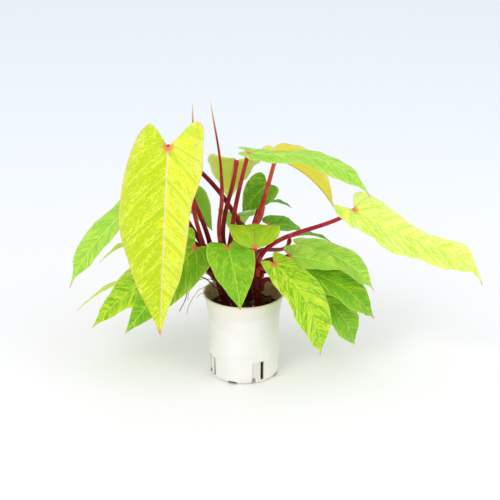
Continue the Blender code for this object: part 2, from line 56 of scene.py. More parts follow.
# Leaves: name, stem, how far up the stem the petiole leaves it and in which direction,
# junction of petiole and blade, blade tip, where the upper face looks (azimuth, elevation),
# full width, how far the midrib bows, fold of each half, twist, how much wider the right half is
LEAVES = (
    ("leaf_01", "stem_back", 0.97, 185, (-89, -70, 331), (-104, -72, 84), (-92, 5), 103, 8, 6, 0, 0.12),
    ("leaf_02", "stem_left", 0.97, 165, (-112, 22, 262), (-221, -20, 125), (-155, 22), 46, 10, 8, -20, 0),
    ("leaf_03", "stem_left", 0.80, 150, (-112, 36, 216), (-186, 44, 150), (100, 62), 44, 20, 10, 0, 0),
    ("leaf_04", "stem_left", 0.66, 170, (-108, 44, 160), (-190, 54, 130), (95, 66), 40, 12, 12, 0, 0),
    ("leaf_05", "stem_left", 0.52, 160, (-112, 50, 112), (-222, 50, 62), (95, 64), 36, 12, 10, 0, 0),
    ("leaf_06", "stem_left", 0.55, 190, (-92, 6, 148), (-197, -4, 62), (-105, 50), 58, 12, 8, 0, 0),
    ("leaf_07", "stem_left", 0.76, 235, (-60, -24, 184), (-152, -34, 68), (-80, 35), 62, 12, 8, 0, 0),
    ("leaf_08", "stem_centre", 0.96, 270, (-20, -36, 190), (-4, -72, 119), (-78, 42), 60, 10, 8, 0, 0),
    ("leaf_09", "stem_right", 0.97, 290, (14, -41, 189), (13, 9, 196), (-90, 86), 64, 18, 26, 0, 0),
    ("leaf_10", "stem_right", 0.84, 315, (38, -28, 163), (97, -55, 48), (-50, 42), 60, 24, 6, 0, 0),
    ("leaf_11", "stem_right", 0.66, 10, (75, 12, 138), (171, 15, 66), (-75, 66), 56, 14, 8, 0, 0),
    ("leaf_12", "stem_right", 0.46, 15, (84, 26, 104), (147, 30, 20), (-60, 50), 54, 18, 8, 0, 0),
    ("leaf_13", "stem_right", 0.76, 45, (72, 42, 158), (171, 32, 98), (-80, 66), 42, 20, 8, 0, 0),
    ("leaf_14", "stem_right", 0.82, 5, (58, 4, 160), (135, 8, 137), (-85, 50), 34, 8, 8, 0, 0),
    ("leaf_15", "stem_right", 0.90, 80, (60, 94, 148), (120, 100, 138), (95, 62), 34, 8, 10, 0, 0),
    ("leaf_16", "stem_back", 0.76, 20, (32, 58, 181), (80, 78, 161), (-90, 68), 32, 8, 8, 0, 0),
    ("leaf_17", "stem_right", 0.98, 345, (139, 0, 225), (304, -15, 127), (-95, 68), 78, 20, 8, 0, 0),
    ("leaf_18", "stem_centre", 0.97, 50, (6, -18, 306), (157, -18, 248), (-90, 89), 54, 24, -6, 34, 0),
    ("leaf_19", "stem_back", 0.92, 5, (40, 32, 282), (117, 48, 209), (50, 35), 62, 10, 38, 0, 0),
    ("leaf_20", "stem_centre", 0.92, 110, (-9, 34, 279), (-20, 92, 200), (95, 30), 70, 14, 10, 0, 0),
    ("leaf_21", "stem_back", 0.84, 50, (30, 46, 243), (-2, 46, 204), (-90, 30), 42, 6, 8, 0, 0),
    ("leaf_22", "stem_back", 0.70, 88, (24, 88, 198), (64, 102, 188), (90, 62), 26, 6, 10, 0, 0),
    ("leaf_23", "stem_left", 0.95, 90, (-66, 16, 240), (-40, 24, 186), (100, 10), 34, 6, 10, 0, 0),
    ("leaf_24", "stem_back", 0.92, 115, (-8, 72, 190), (-14, 150, 122), (90, 48), 52, 16, 10, 0, 0),
)

def outline_between(*places):
    """Half of a blade's outline; its two ends, the notch and the tip, lie on the midrib."""
    return ((0, 0), *places, (1, 0))


# One half of a blade's outline, from the notch at the petiole round the lobe to the tip:
# along the midrib as a share of the length, and across as a share of the half width
HALF_OUTLINE = outline_between(
    (-0.05, 0.24), (-0.095, 0.52), (-0.07, 0.80), (0.03, 0.95), (0.16, 1.00),
    (0.33, 0.94), (0.49, 0.79), (0.65, 0.57), (0.80, 0.32), (0.91, 0.12),
)
MIDRIB_SHARES = (0.0, 0.012, 0.03, 0.06, 0.12, 0.22, 0.37, 0.53, 0.69, 0.82, 0.915, 1.0)

# Blades that bend otherwise: where along the midrib the bow is highest, the fold at the tip,
# and the power that makes a twist come late
SPECIAL_BENDS = {
    "leaf_02": {"peak": 0.68},
    "leaf_09": {"fold_tip": -25},
    "leaf_17": {"peak": 0.74},
    "leaf_18": {"late_twist": 3, "peak": 0.58},
}

# Halves that differ from the common outline: leaf, side (1 is the right half seen from the
# upper face with the tip up) and the outline
OWN_OUTLINES = {
    ("leaf_01", 1): outline_between(
        (-0.055, 0.16), (-0.10, 0.34), (-0.095, 0.46), (-0.03, 0.66), (0.11, 0.84),
        (0.30, 0.94), (0.45, 0.90), (0.62, 0.68), (0.775, 0.42), (0.90, 0.17),
    ),
    ("leaf_01", -1): outline_between(
        (-0.06, 0.30), (-0.13, 0.66), (-0.105, 0.92), (-0.02, 0.94), (0.13, 0.92),
        (0.28, 0.72), (0.48, 0.62), (0.65, 0.52), (0.79, 0.28), (0.90, 0.12),
    ),
    ("leaf_17", 1): outline_between(
        (-0.08, 0.14), (-0.14, 0.37), (-0.115, 0.62), (0.00, 0.80), (0.16, 0.93),
        (0.30, 1.06), (0.45, 1.06), (0.62, 0.90), (0.79, 0.55), (0.88, 0.13),
    ),
    ("leaf_17", -1): outline_between(
        (-0.03, 0.30), (-0.04, 0.62), (0.02, 0.86), (0.11, 0.90), (0.22, 0.74),
        (0.34, 0.54), (0.48, 0.44), (0.64, 0.48), (0.78, 0.56), (0.88, 0.22),
    ),
}
LATE_OUTLINE = outline_between(
    (-0.05, 0.22), (-0.08, 0.45), (-0.03, 0.68), (0.08, 0.78), (0.22, 0.84),
    (0.38, 0.90), (0.55, 0.98), (0.69, 0.96), (0.80, 0.66), (0.895, 0.18),
)
DOME_OUTLINE = outline_between(
    (0.00, 0.22), (0.03, 0.50), (0.08, 0.78), (0.17, 0.96), (0.30, 1.00),
    (0.45, 0.97), (0.60, 0.86), (0.74, 0.66), (0.86, 0.40), (0.95, 0.16),
)
MIDDLE_OUTLINE = outline_between(
    (-0.045, 0.20), (-0.07, 0.42), (-0.03, 0.62), (0.07, 0.78), (0.20, 0.90),
    (0.36, 0.98), (0.53, 1.00), (0.70, 0.84), (0.835, 0.50), (0.925, 0.15),
)
SHARED_OUTLINES = {
    "leaf_02": LATE_OUTLINE, "leaf_09": DOME_OUTLINE, "leaf_10": MIDDLE_OUTLINE,
    "leaf_11": MIDDLE_OUTLINE, "leaf_12": MIDDLE_OUTLINE, "leaf_13": LATE_OUTLINE,
    "leaf_18": LATE_OUTLINE,
}

# Petioles
GAP = 0.3 * MM
CAD_BLADE_THICKNESS = 1.0 * MM
PETIOLE_BASE_RADIUS = 2.5 * MM
PETIOLE_END_RADIUS = 2.0 * MM
SLOPE_STEP = 0.001
PETIOLE_SPREAD = 22
PETIOLE_REACH = 0.36
PETIOLE_RISE = 0.8
STALK_FULLNESS = 1.28              # fine stalks against the CAD rods
STALK_TOP_DROP = 0.9 * MM          # fine stalks end this far under the junction

# New leaves still rolled up: name, stem, base azimuth, points up the spear, radius at the base
SPEARS = (
    ("spear_left", "stem_left", 215, ((-60, -6, 214), (-64, -4, 250), (-62, -2, 300), (-62, 0, 362)), 3.0),
    ("spear_centre", "stem_centre", 185,
     ((-31, -14, 205), (-27, -12, 245), (-29, -8, 295), (-40, -4, 366)), 2.8),
)
SPEAR_TIP_RADIUS = 0.8 * MM

# Aerial roots: name, stem, how far up it, azimuth, points along the root
ROOTS = (
    ("aerial_root_left", "stem_left", 0.30, 195,
     ((-52, -20, 141), (-66, -22, 134), (-74, -24, 112), (-82, -25, 96))),
    ("aerial_root_arc", "stem_left", 0.42, 225, ((-50, -14, 150), (-62, -15, 151), (-70, -14, 144))),
    ("aerial_root_back", "stem_back", 0.34, 80, ((18, 50, 142), (24, 66, 118), (27, 72, 96))),
)

# Fine roots that hang over the rim at the left: points along each
FINE_ROOTS = (
    ((-29, -6, 118), (-44, -18, 128), (-58, -24, 124), (-68, -26, 108), (-73, -27, 92)),
    ((-30, -4, 126), (-46, -14, 136), (-60, -18, 134), (-69, -22, 122), (-71, -24, 110)),
    ((-27, -8, 112), (-40, -22, 121), (-52, -27, 122), (-60, -30, 117)),
    ((-26, 0, 122), (-44, -6, 138), (-62, -10, 142), (-76, -12, 134), (-82, -14, 122)),
)
FINE_ROOT_RADIUS = 0.45 * MM
SWAY_SEED = 31                     # without it noise_vector takes its seed from the clock

# Leaf lamina
MAIN_VEINS = 7.0                   # main lateral veins per half, over the leaf's length
FINE_VEINS = 5.0                   # fine ones for each main one
LEAF_GLOW = 0.45                   # share of the light that passes through the lamina's skin
LEAF_GLOW_REACH = 3 * MM
LONG_LEAF = 0.25                   # length that the midrib's full width belongs to
LAMINA = 0.30 * MM                 # half the thickness of the lamina in its middle
MARGIN = 0.14 * MM                 # and at its margin
RIB_RAISE = 1.1 * MM               # how far the midrib stands out below, at the junction
RIB_CHANNEL = 0.30 * MM            # how deep the midrib lies in the upper face
PLEAT = 0.012                      # bulge between lateral veins, as a share of the half width
ROW_PITCH = 2.2 * MM
COLUMN_PITCH = 2.2 * MM

# Marks on a leaf, in millimetres along the lateral veins and across them
FLECK = (4.6, 2.3)
PATCH = (20.0, 12.0)
SPECK = (1.5, 1.0)
MARK_SHARES = (0.55, 0.45, 0.34)   # of flecks, patches and specks in the mottle
HALF_SHIFT = 7.0                   # keeps the marks of the two halves apart
MOTTLE_MEAN = 0.67                 # mean of the summed marks
MOTTLE_SPREAD = 0.30               # how far the mottle's cover moves the step to dark
MOTTLE_EDGE = 0.075                # half the width of that step
JUNCTION_FULL = 1.5                # millimetres from the junction that are all in the petiole's colour
JUNCTION_END = (4.0, 7.0)          # where that colour is gone, and how much farther on a long leaf
LEAF_SPECULAR = 0.18
ROD_SPECULAR = 0.2

# Leaf palettes: the leaves that have each, mottle (share of dark), how much more of it the right
# half has, then the display colours of PALETTE_PARTS
PALETTE_PARTS = ("light", "dark", "gold", "vein", "rib", "edge", "tip", "under")
PALETTES = {
    "chartreuse": ((1,), 0.46, 0.20, (230, 244, 72), (176, 204, 8), (234, 232, 40),
        (234, 244, 96), (240, 214, 170), (238, 168, 90), (225, 120, 70), (215, 232, 70)),
    "lime": ((4, 5, 17), 0.36, 0.10, (232, 248, 124), (178, 224, 52), (240, 248, 96),
        (236, 250, 160), (238, 244, 110), (228, 238, 90), (206, 110, 50), (196, 228, 76)),
    "spring": ((2, 3, 13, 14, 18), 0.40, 0.00, (168, 216, 66), (132, 196, 40), (194, 228, 76),
        (206, 238, 140), (212, 234, 120), (190, 232, 60), (225, 120, 70), (168, 216, 60)),
    "green": ((7, 8, 11, 12, 23, 24), 0.50, 0.00, (134, 190, 30), (100, 162, 12), (170, 212, 38),
        (180, 222, 84), (196, 216, 74), (196, 228, 44), (228, 130, 50), (140, 196, 44)),
    "variegated": ((6, 10), 0.44, 0.00, (172, 214, 34), (104, 168, 10), (208, 230, 48),
        (200, 230, 90), (212, 222, 70), (210, 230, 46), (228, 130, 50), (150, 202, 46)),
    "deep": ((15, 16, 21, 22), 0.50, 0.00, (112, 176, 28), (72, 140, 14), (140, 192, 34),
        (136, 194, 66), (170, 194, 70), (150, 198, 40), (216, 120, 50), (112, 170, 40)),
    "olive": ((9,), 0.45, 0.00, (156, 192, 26), (132, 172, 12), (176, 204, 36),
        (176, 204, 60), (160, 118, 50), (204, 220, 70), (206, 120, 60), (200, 222, 64)),
    "backlit": ((20,), 0.40, 0.00, (200, 224, 60), (170, 204, 30), (216, 232, 80),
        (224, 238, 120), (222, 150, 120), (226, 236, 90), (206, 120, 60), (226, 242, 84)),
    "sunlit": ((19,), 0.40, 0.00, (240, 224, 58), (216, 204, 36), (246, 218, 70),
        (246, 234, 130), (196, 60, 44), (226, 130, 70), (222, 120, 70), (246, 228, 70)),
}
JUNCTION_COLOUR = (232, 112, 84)

# Looks of rods: deep, light and highlight colour, colour at the far end and the share of the
# length from which it comes in, roughness
ROD_LOOKS = {
    "stem_look": ((62, 10, 10), (112, 22, 18), (146, 70, 52), (135, 20, 20), 0.6, 0.5),
    "root_look": ((96, 58, 32), (140, 90, 52), (170, 120, 80), (110, 60, 34), 0.7, 0.75),
    "orange_root_look": ((120, 56, 20), (176, 92, 38), (200, 130, 70), (120, 60, 26), 0.7, 0.7),
    "spear_look": ((140, 22, 22), (176, 36, 30), (214, 100, 84), (226, 186, 140), 0.84, 0.35),
    "stalk_look_dark": ((104, 8, 12), (150, 18, 20), (196, 62, 56), (186, 44, 40), 0.45, 0.34),
    "stalk_look_crimson": ((128, 8, 34), (186, 26, 52), (226, 98, 104), (206, 44, 60), 0.6, 0.34),
    "stalk_look_pale": ((168, 28, 28), (206, 58, 52), (232, 122, 108), (222, 92, 74), 0.5, 0.34),
}
STALK_LOOKS = {"leaf_17": "crimson", "leaf_19": "pale", "leaf_16": "pale", "leaf_22": "pale",
               "leaf_10": "pale"}

# Pot
COLLAR_HEIGHT = 23 * MM
COLLAR_RADIUS = 47.5 * MM
COLLAR_STEP = 1.0 * MM
BASE_RADIUS = 44.5 * MM
BASE_ROUND = 5 * MM
POT_WALL = 1.8 * MM
POT_FLOOR = 2.2 * MM
LIP_BEAD = 1.2 * MM
SLOT_COUNT = 4
SLOT_START = -65
SLOT_PANEL = (15 * MM, 26 * MM)
SLOT_PANEL_DEPTH = 0.8 * MM
SLOT_WIDTH = 2.5 * MM
SLOT_INSET = 1 * MM
SLOT_SIDE = (SLOT_PANEL[0] - SLOT_WIDTH) / 2 - SLOT_INSET
SLOT_HALO = (0.9 * MM, 0.3 * MM)   # painted shade beside a slot: none, and full
SLOT_BOTTOM = 5 * MM
NOTCH = (9 * MM, 11 * MM, 7 * MM)
POT_FACETS = 144

# Stage
CAMERA_TARGET = Vector((8, 0, 170)) * MM
CAMERA_DISTANCE = 1.8
CAMERA_PITCH = 22.5
CAMERA_LENS = 102
FLOOR_SIZE = 60
WORLD_LIGHT = 0.88
KEY_LIGHT = 17
FILL_LIGHT = 10


# ---- shared helpers

def millimetres(values):
    """A place written in millimetres, as a vector in metres."""
    return Vector(values) * MM


def direction(azimuth, elevation=0.0):
    """Unit vector; azimuth 0 is +X and 90 is +Y."""
    a = math.radians(azimuth)
    e = math.radians(elevation)
    return Vector((math.cos(a) * math.cos(e), math.sin(a) * math.cos(e), math.sin(e)))


def smoothstep(low, high, value):
    share = min(1.0, max(0.0, (value - low) / (high - low)))
    return share * share * (3 - 2 * share)


def rgb(red, green, blue):
    """A display colour, 0 to 255, as the linear colour that a shader takes."""
    linear = []
    for value in (red, green, blue):
        value /= 255
        linear.append(value / 12.92 if value <= 0.04045 else ((value + 0.055) / 1.055) ** 2.4)
    return (*linear, 1.0)


def spline(points, position):
    """Catmull-Rom through a run of tuples or numbers; position 0 is the first, 1 the last."""
    last = len(points) - 1
    place = min(max(position, 0.0), 1.0) * last
    index = min(int(place), last - 1)
    t = place - index
    start = points[index]
    end = points[index + 1]
    before = points[index - 1] if index else start * 2 - end
    after = points[index + 2] if index + 2 <= last else end * 2 - start
    return 0.5 * (2 * start + (end - before) * t
                  + (2 * before - 5 * start + 4 * end - after) * t ** 2
                  + (3 * start - before - 3 * end + after) * t ** 3)


def finish_piece(name, shape, material, replaced=(), smooth_angle=60):
    """Turn a bmesh into a smooth piece that rides on the one body."""
    bmesh.ops.recalc_face_normals(shape, faces=shape.faces)
    mesh = bpy.data.meshes.new(name)
    shape.to_mesh(mesh)
    shape.free()
    mesh.shade_smooth()
    mesh.set_sharp_from_angle(angle=math.radians(smooth_angle))
    piece = bpy.data.objects.new(name, mesh)
    mesh.materials.append(material)
    bpy.context.scene.collection.objects.link(piece)
    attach(piece, "root")
    if replaced:
        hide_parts(*replaced)
    return piece


# ---- material nodes

class Nodes:
    """A Principled material with short ways to add nodes to it."""

    def __init__(self, name, roughness=0.5):
        self.material = bpy.data.materials.new(name)
        self.material.use_nodes = True
        self.tree = self.material.node_tree
        self.shader = self.tree.nodes["Principled BSDF"]
        self.shader.inputs["Roughness"].default_value = roughness

    def put(self, value, socket):
        if isinstance(value, bpy.types.NodeSocket):
            self.tree.links.new(value, socket)
        else:
            socket.default_value = value

    def fill(self, node, sockets, values):
        """Link or set a node's inputs, and give its outputs."""
        for socket, value in zip(sockets, values):
            self.put(value, node.inputs[socket])
        return node.outputs

    def math(self, operation, *values):
        node = self.tree.nodes.new("ShaderNodeMath")
        node.operation = operation
        return self.fill(node, range(3), values)[0]

    def times(self, first, *others):
        for other in others:
            first = self.math("MULTIPLY", first, other)
        return first

    def scaled(self, value, scale, shift):
        return self.math("MULTIPLY_ADD", value, scale, shift)

    def apart(self, first, second):
        return self.math("ABSOLUTE", self.math("SUBTRACT", first, second))

    def distance(self, x, y):
        return self.math("SQRT", self.scaled(x, x, self.times(y, y)))

    def between(self, value, low, high, out_low=0.0, out_high=1.0):
        """Smooth step from low to high."""
        node = self.tree.nodes.new("ShaderNodeMapRange")
        node.interpolation_type = "SMOOTHSTEP"
        return self.fill(node, ("Value", "From Min", "From Max", "To Min", "To Max"),
                         (value, low, high, out_low, out_high))["Result"]

    def mix(self, factor, first, second):
        node = self.tree.nodes.new("ShaderNodeMix")
        node.data_type = "RGBA"
        return self.fill(node, (0, 6, 7), (factor, first, second))[2]

    def parts(self, vector):
        """The three parts of a vector, as sockets."""
        return tuple(self.fill(self.tree.nodes.new("ShaderNodeSeparateXYZ"), (0,), (vector,)))

    def attribute(self, name):
        """The three parts of a mesh attribute, as sockets."""
        node = self.tree.nodes.new("ShaderNodeAttribute")
        node.attribute_name = name
        return self.parts(node.outputs["Vector"])

    def vector(self, x, y, z):
        return self.fill(self.tree.nodes.new("ShaderNodeCombineXYZ"), range(3), (x, y, z))[0]

    def place(self):
        """Object coordinates, in metres."""
        return self.tree.nodes.new("ShaderNodeTexCoord").outputs["Object"]

    def noise(self, vector, scale, detail=3.0, roughness=0.55):
        return self.fill(self.tree.nodes.new("ShaderNodeTexNoise"),
                         ("Vector", "Scale", "Detail", "Roughness"),
                         (vector, scale, detail, roughness))["Fac"]

    def cells(self, vector, scale):
        return self.fill(self.tree.nodes.new("ShaderNodeTexVoronoi"), ("Vector", "Scale"),
                         (vector, scale))["Distance"]

    def bump(self, height, distance, strength):
        made = self.fill(self.tree.nodes.new("ShaderNodeBump"), ("Height", "Distance", "Strength"),
                         (height, distance, strength))
        self.put(made["Normal"], self.shader.inputs["Normal"])

    def finish(self, colour, roughness=None, specular=None):
        self.put(colour, self.shader.inputs["Base Color"])
        if roughness is not None:
            self.put(roughness, self.shader.inputs["Roughness"])
        if specular is not None:
            self.shader.inputs["Specular IOR Level"].default_value = specular
        return self.material


def leaf_palettes():
    """Each leaf's palette, by the leaf's name, with the colours as a shader takes them."""
    palettes = {}
    for leaves, mottle, split, *colours in PALETTES.values():
        palette = {part: rgb(*colour) for part, colour in zip(PALETTE_PARTS, colours)}
        for number in leaves:
            palettes[f"leaf_{number:02d}"] = {**palette, "mottle": mottle, "split": split}
    return palettes


def leaf_material(name, palette, length, seed):
    """Mottled leaf skin with veins, midrib, margin and drip tip."""
    skin = Nodes(name + "_skin", 0.42)
    across, along, vein_place = skin.attribute("leaf_place")
    share, upper, _ = skin.attribute("leaf_face")
    half = skin.math("SIGN", across)
    reach = skin.math("ABSOLUTE", across)
    size = length / LONG_LEAF

    def marks(mark, layer, detail=3.0):
        x = skin.times(vein_place, length / MM / mark[1])
        y = skin.math("DIVIDE", reach, mark[0])
        z = skin.scaled(half, HALF_SHIFT, seed + layer)
        return skin.noise(skin.vector(x, y, z), 1.0, detail)

    flecks = marks(FLECK, 0, 4.0)
    patches = marks(PATCH, 40)
    specks = marks(SPECK, 80, 2.0)

    # Dark mottle over light and gold patches
    fleck_share, patch_share, speck_share = MARK_SHARES
    mottle = skin.scaled(flecks, fleck_share, skin.times(patches, patch_share))
    mottle = skin.scaled(specks, speck_share, mottle)
    amount = skin.scaled(half, palette["split"], palette["mottle"])
    cover = skin.scaled(amount, -MOTTLE_SPREAD, MOTTLE_MEAN + MOTTLE_SPREAD / 2)
    dark = skin.between(mottle, skin.math("SUBTRACT", cover, MOTTLE_EDGE),
                        skin.math("ADD", cover, MOTTLE_EDGE))
    gold = skin.between(marks(PATCH, 120), 0.45, 0.60, 0.0, 0.8)
    colour = skin.mix(gold, palette["light"], palette["gold"])
    colour = skin.mix(skin.times(dark, 0.9), colour, palette["dark"])

    # Lateral veins: a pale line with a painted shade line beside it, and finer ones between
    main_way = skin.math("FRACT", skin.times(vein_place, MAIN_VEINS))
    fine_way = skin.math("PINGPONG", skin.times(vein_place, MAIN_VEINS * FINE_VEINS), 0.5)
    pale_line = skin.math("MAXIMUM", skin.between(main_way, 0.05, 0.01),
                          skin.between(main_way, 0.96, 0.99))
    # Painted shade beside each main vein, in the leaf's dark colour
    vein_shade_line = skin.times(skin.between(main_way, 0.06, 0.10), skin.between(main_way, 0.34, 0.12))
    fine_line = skin.between(fine_way, 0.17, 0.0)
    inside = skin.between(share, 0.98, 0.80)
    for line, strength, tone in ((vein_shade_line, 0.55, "dark"), (fine_line, 0.16, "dark"),
                                 (pale_line, 0.40, "vein")):
        colour = skin.mix(skin.times(line, inside, strength), colour, palette[tone])

    # The underside is paler and duller
    colour = skin.mix(skin.between(upper, 0.6, 0.4, 0.0, 0.7), colour, palette["under"])

    # Midrib, margin, drip tip and the petiole's colour at the junction
    rib_width = skin.scaled(along, -0.9 * size, 0.35 + 1.25 * size)
    rib = skin.between(reach, rib_width, skin.times(rib_width, 0.45))
    colour = skin.mix(skin.times(rib, 0.9), colour, palette["rib"])
    colour = skin.mix(skin.between(share, 0.955, 0.995, 0.0, 0.7), colour, palette["edge"])
    colour = skin.mix(skin.between(along, 0.945, 0.99), colour, palette["tip"])
    away = skin.distance(reach, skin.times(along, length / MM))
    spot_end = JUNCTION_END[0] + JUNCTION_END[1] * size
    colour = skin.mix(skin.between(away, spot_end, JUNCTION_FULL, 0.0, 0.85), colour,
                      rgb(*JUNCTION_COLOUR))

    height = skin.scaled(fine_line, -0.6, skin.times(specks, 0.5))
    skin.bump(skin.scaled(pale_line, -0.8, height), 0.14 * MM, 0.6)
    skin.shader.inputs["Subsurface Weight"].default_value = LEAF_GLOW
    skin.shader.inputs["Subsurface Radius"].default_value = (1, 1, 1)
    skin.shader.inputs["Subsurface Scale"].default_value = LEAF_GLOW_REACH
    return skin.finish(colour, skin.scaled(flecks, 0.18, 0.34), LEAF_SPECULAR)


# ---- leaves

class Blade:
    """One leaf blade: a bowed, folded heart shape with veins, hung between its junction and its tip."""

    def __init__(self, row, seed):
        self.name = row[0]
        junction, tip, face, width, bow, fold, twist, uneven = row[4:]
        self.junction = millimetres(junction)
        self.tip = millimetres(tip)
        self.chord = self.tip - self.junction
        self.length = self.chord.length
        along = self.chord.normalized()
        looks = direction(*face)
        self.face = (looks - along * looks.dot(along)).normalized()
        self.across = along.cross(self.face)
        self.half_width = width * MM / 2
        self.bow = bow * MM
        self.fold = math.radians(fold)
        self.twist = math.radians(twist)
        self.uneven = uneven
        special = SPECIAL_BENDS.get(self.name, {})
        self.fold_tip = math.radians(special.get("fold_tip", fold))
        self.skew = math.log(0.5) / math.log(special.get("peak", 0.5))
        self.late_twist = special.get("late_twist", 1)
        self.random = random.Random(seed)
        self.phases = {side: self.random.uniform(0, math.tau) for side in (1, -1)}
        self.waves = {side: self.random.uniform(2.2, 3.2) for side in (1, -1)}
        self.outlines = {}
        for side in (1, -1):
            outline = OWN_OUTLINES.get((self.name, side), SHARED_OUTLINES.get(self.name, HALF_OUTLINE))
            self.outlines[side] = [Vector(pair) for pair in outline]

    def bend(self, share):
        """How far the midrib lies over its chord."""
        warped = share if self.skew == 1 else max(share, 0) ** self.skew
        return 4 * self.bow * warped * (1 - warped)

    def midrib(self, share):
        return self.junction + self.chord * share + self.face * self.bend(share)

    def frame(self, share):
        """Along, across and upper-face directions at a share of the length."""
        slope = (self.bend(share + SLOPE_STEP) - self.bend(share - SLOPE_STEP)) / (2 * SLOPE_STEP)
        along = (self.chord + self.face * slope).normalized()
        twisted = share if self.late_twist == 1 else max(share, 0) ** self.late_twist
        turn = Matrix.Rotation(self.twist * twisted, 3, along)
        across = turn @ self.across
        return along, across, across.cross(along)

    def vein_place(self, along, reach):
        """Number that is constant along a lateral vein; reach is in lengths from the midrib."""
        place = along - 0.8 * reach - 1.5 * reach ** 2
        if place < 0:
            place *= 0.22 / (math.hypot(along, reach) + 0.02)
        return place

    def relief(self, along, share, reach, side):
        """Height of the middle of the lamina over the plain folded surface."""
        place = self.vein_place(along, reach / self.length)
        toward_margin = smoothstep(1.0, 0.75, share)
        from_rib = smoothstep(0.0, 0.14, share)
        from_tip = smoothstep(1.0, 0.72, along)
        pleats = abs(math.sin(math.pi * place * MAIN_VEINS)) ** 0.7 - 0.6
        fine = abs(math.sin(math.pi * place * MAIN_VEINS * FINE_VEINS)) - 0.6
        height = PLEAT * self.half_width * (pleats + 0.12 * fine) * toward_margin * from_rib * from_tip
        wave = math.sin(math.tau * self.waves[side] * along + self.phases[side])
        ripple = math.sin(math.tau * 3.1 * self.waves[side] * along + 2 * self.phases[side])
        height += self.half_width * (0.060 * wave + 0.018 * ripple) * share ** 3 * from_tip
        return height, place

    def point(self, row, share, side, layer):
        """A point of one face, with its attributes; row runs 0 to 1 from notch to tip."""
        edge = spline(self.outlines[side], row)
        rib = spline(MIDRIB_SHARES, row)
        along_share = rib + (edge.x - rib) * share
        across_share = max(0.0, edge.y) * share
        _, across, normal = self.frame(along_share)
        reach = self.half_width * across_share * (1 + self.uneven * side)
        fold = self.fold + (self.fold_tip - self.fold) * min(max(along_share, 0), 1)
        round_fold = fold * smoothstep(0.0, 0.16, across_share)
        out = across * (side * math.cos(round_fold)) + normal * math.sin(round_fold)
        lift = normal * math.cos(round_fold) - across * (side * math.sin(round_fold))
        height, place = self.relief(along_share, share, reach, side)
        half_thickness = LAMINA + (MARGIN - LAMINA) * smoothstep(0.5, 1.0, share)
        narrow = max(0.12, 1 - along_share)
        rib_reach = (0.7 + 1.6 * narrow) * MM
        ridge = math.exp(-(reach / rib_reach) ** 2) * smoothstep(0.0, 0.02, 1 - along_share)
        if layer > 0:
            height += half_thickness - RIB_CHANNEL * ridge * narrow
        else:
            height -= half_thickness + RIB_RAISE * ridge * narrow * min(1.0, self.length / 0.15)
        where = self.midrib(along_share) + out * reach + lift * height
        return where, (side * reach / MM, along_share, place), (share, max(0, layer), 0)

    def build(self, material):
        rows = max(26, int(self.length / ROW_PITCH))
        columns = max(9, int(self.half_width / COLUMN_PITCH))
        shape = bmesh.new()
        place_layer = shape.verts.layers.float_vector.new("leaf_place")
        face_layer = shape.verts.layers.float_vector.new("leaf_face")
        row_shares = [index / rows for index in range(rows + 1)]
        column_shares = [(index / columns) ** 1.35 for index in range(columns + 1)]

        def grid(side, layer, first_column=None):
            made = []
            for row_index, row in enumerate(row_shares):
                line = []
                for column_index, share in enumerate(column_shares):
                    if column_index == 0 and first_column:
                        line.append(first_column[row_index][0])
                        continue
                    where, place, face = self.point(row, share, side, layer)
                    vertex = shape.verts.new(where)
                    vertex[place_layer] = place
                    vertex[face_layer] = face
                    line.append(vertex)
                made.append(line)
            return made

        def skin(lines, flip):
            for low, high in zip(lines, lines[1:]):
                for column in range(len(low) - 1):
                    corners = (low[column], low[column + 1], high[column + 1], high[column])
                    shape.faces.new(corners if flip else tuple(reversed(corners)))

        grids = {}
        for layer in (1, -1):
            right = grid(1, layer)
            left = grid(-1, layer, right)
            grids[layer] = (right, left)
            skin(right, layer < 0)
            skin(left, layer > 0)
        for index in (0, 1):
            upper = [line[-1] for line in grids[1][index]]
            lower = [line[-1] for line in grids[-1][index]]
            for first in range(len(upper) - 1):
                shape.faces.new((upper[first], upper[first + 1], lower[first + 1], lower[first]))
        # At the notch and at the tip each face closes to one point
        for lines in grids[1] + grids[-1]:
            for line in (lines[0], lines[-1]):
                for vertex in line[1:]:
                    vertex.co = line[0].co
        bmesh.ops.remove_doubles(shape, verts=shape.verts, dist=0.002 * MM)
        bmesh.ops.dissolve_degenerate(shape, edges=shape.edges, dist=0.002 * MM)
        return finish_piece(self.name + "_lamina", shape, material,
                            (self.name + "_blade",), 80)

# ---- tubes: petioles, stems, spears, roots

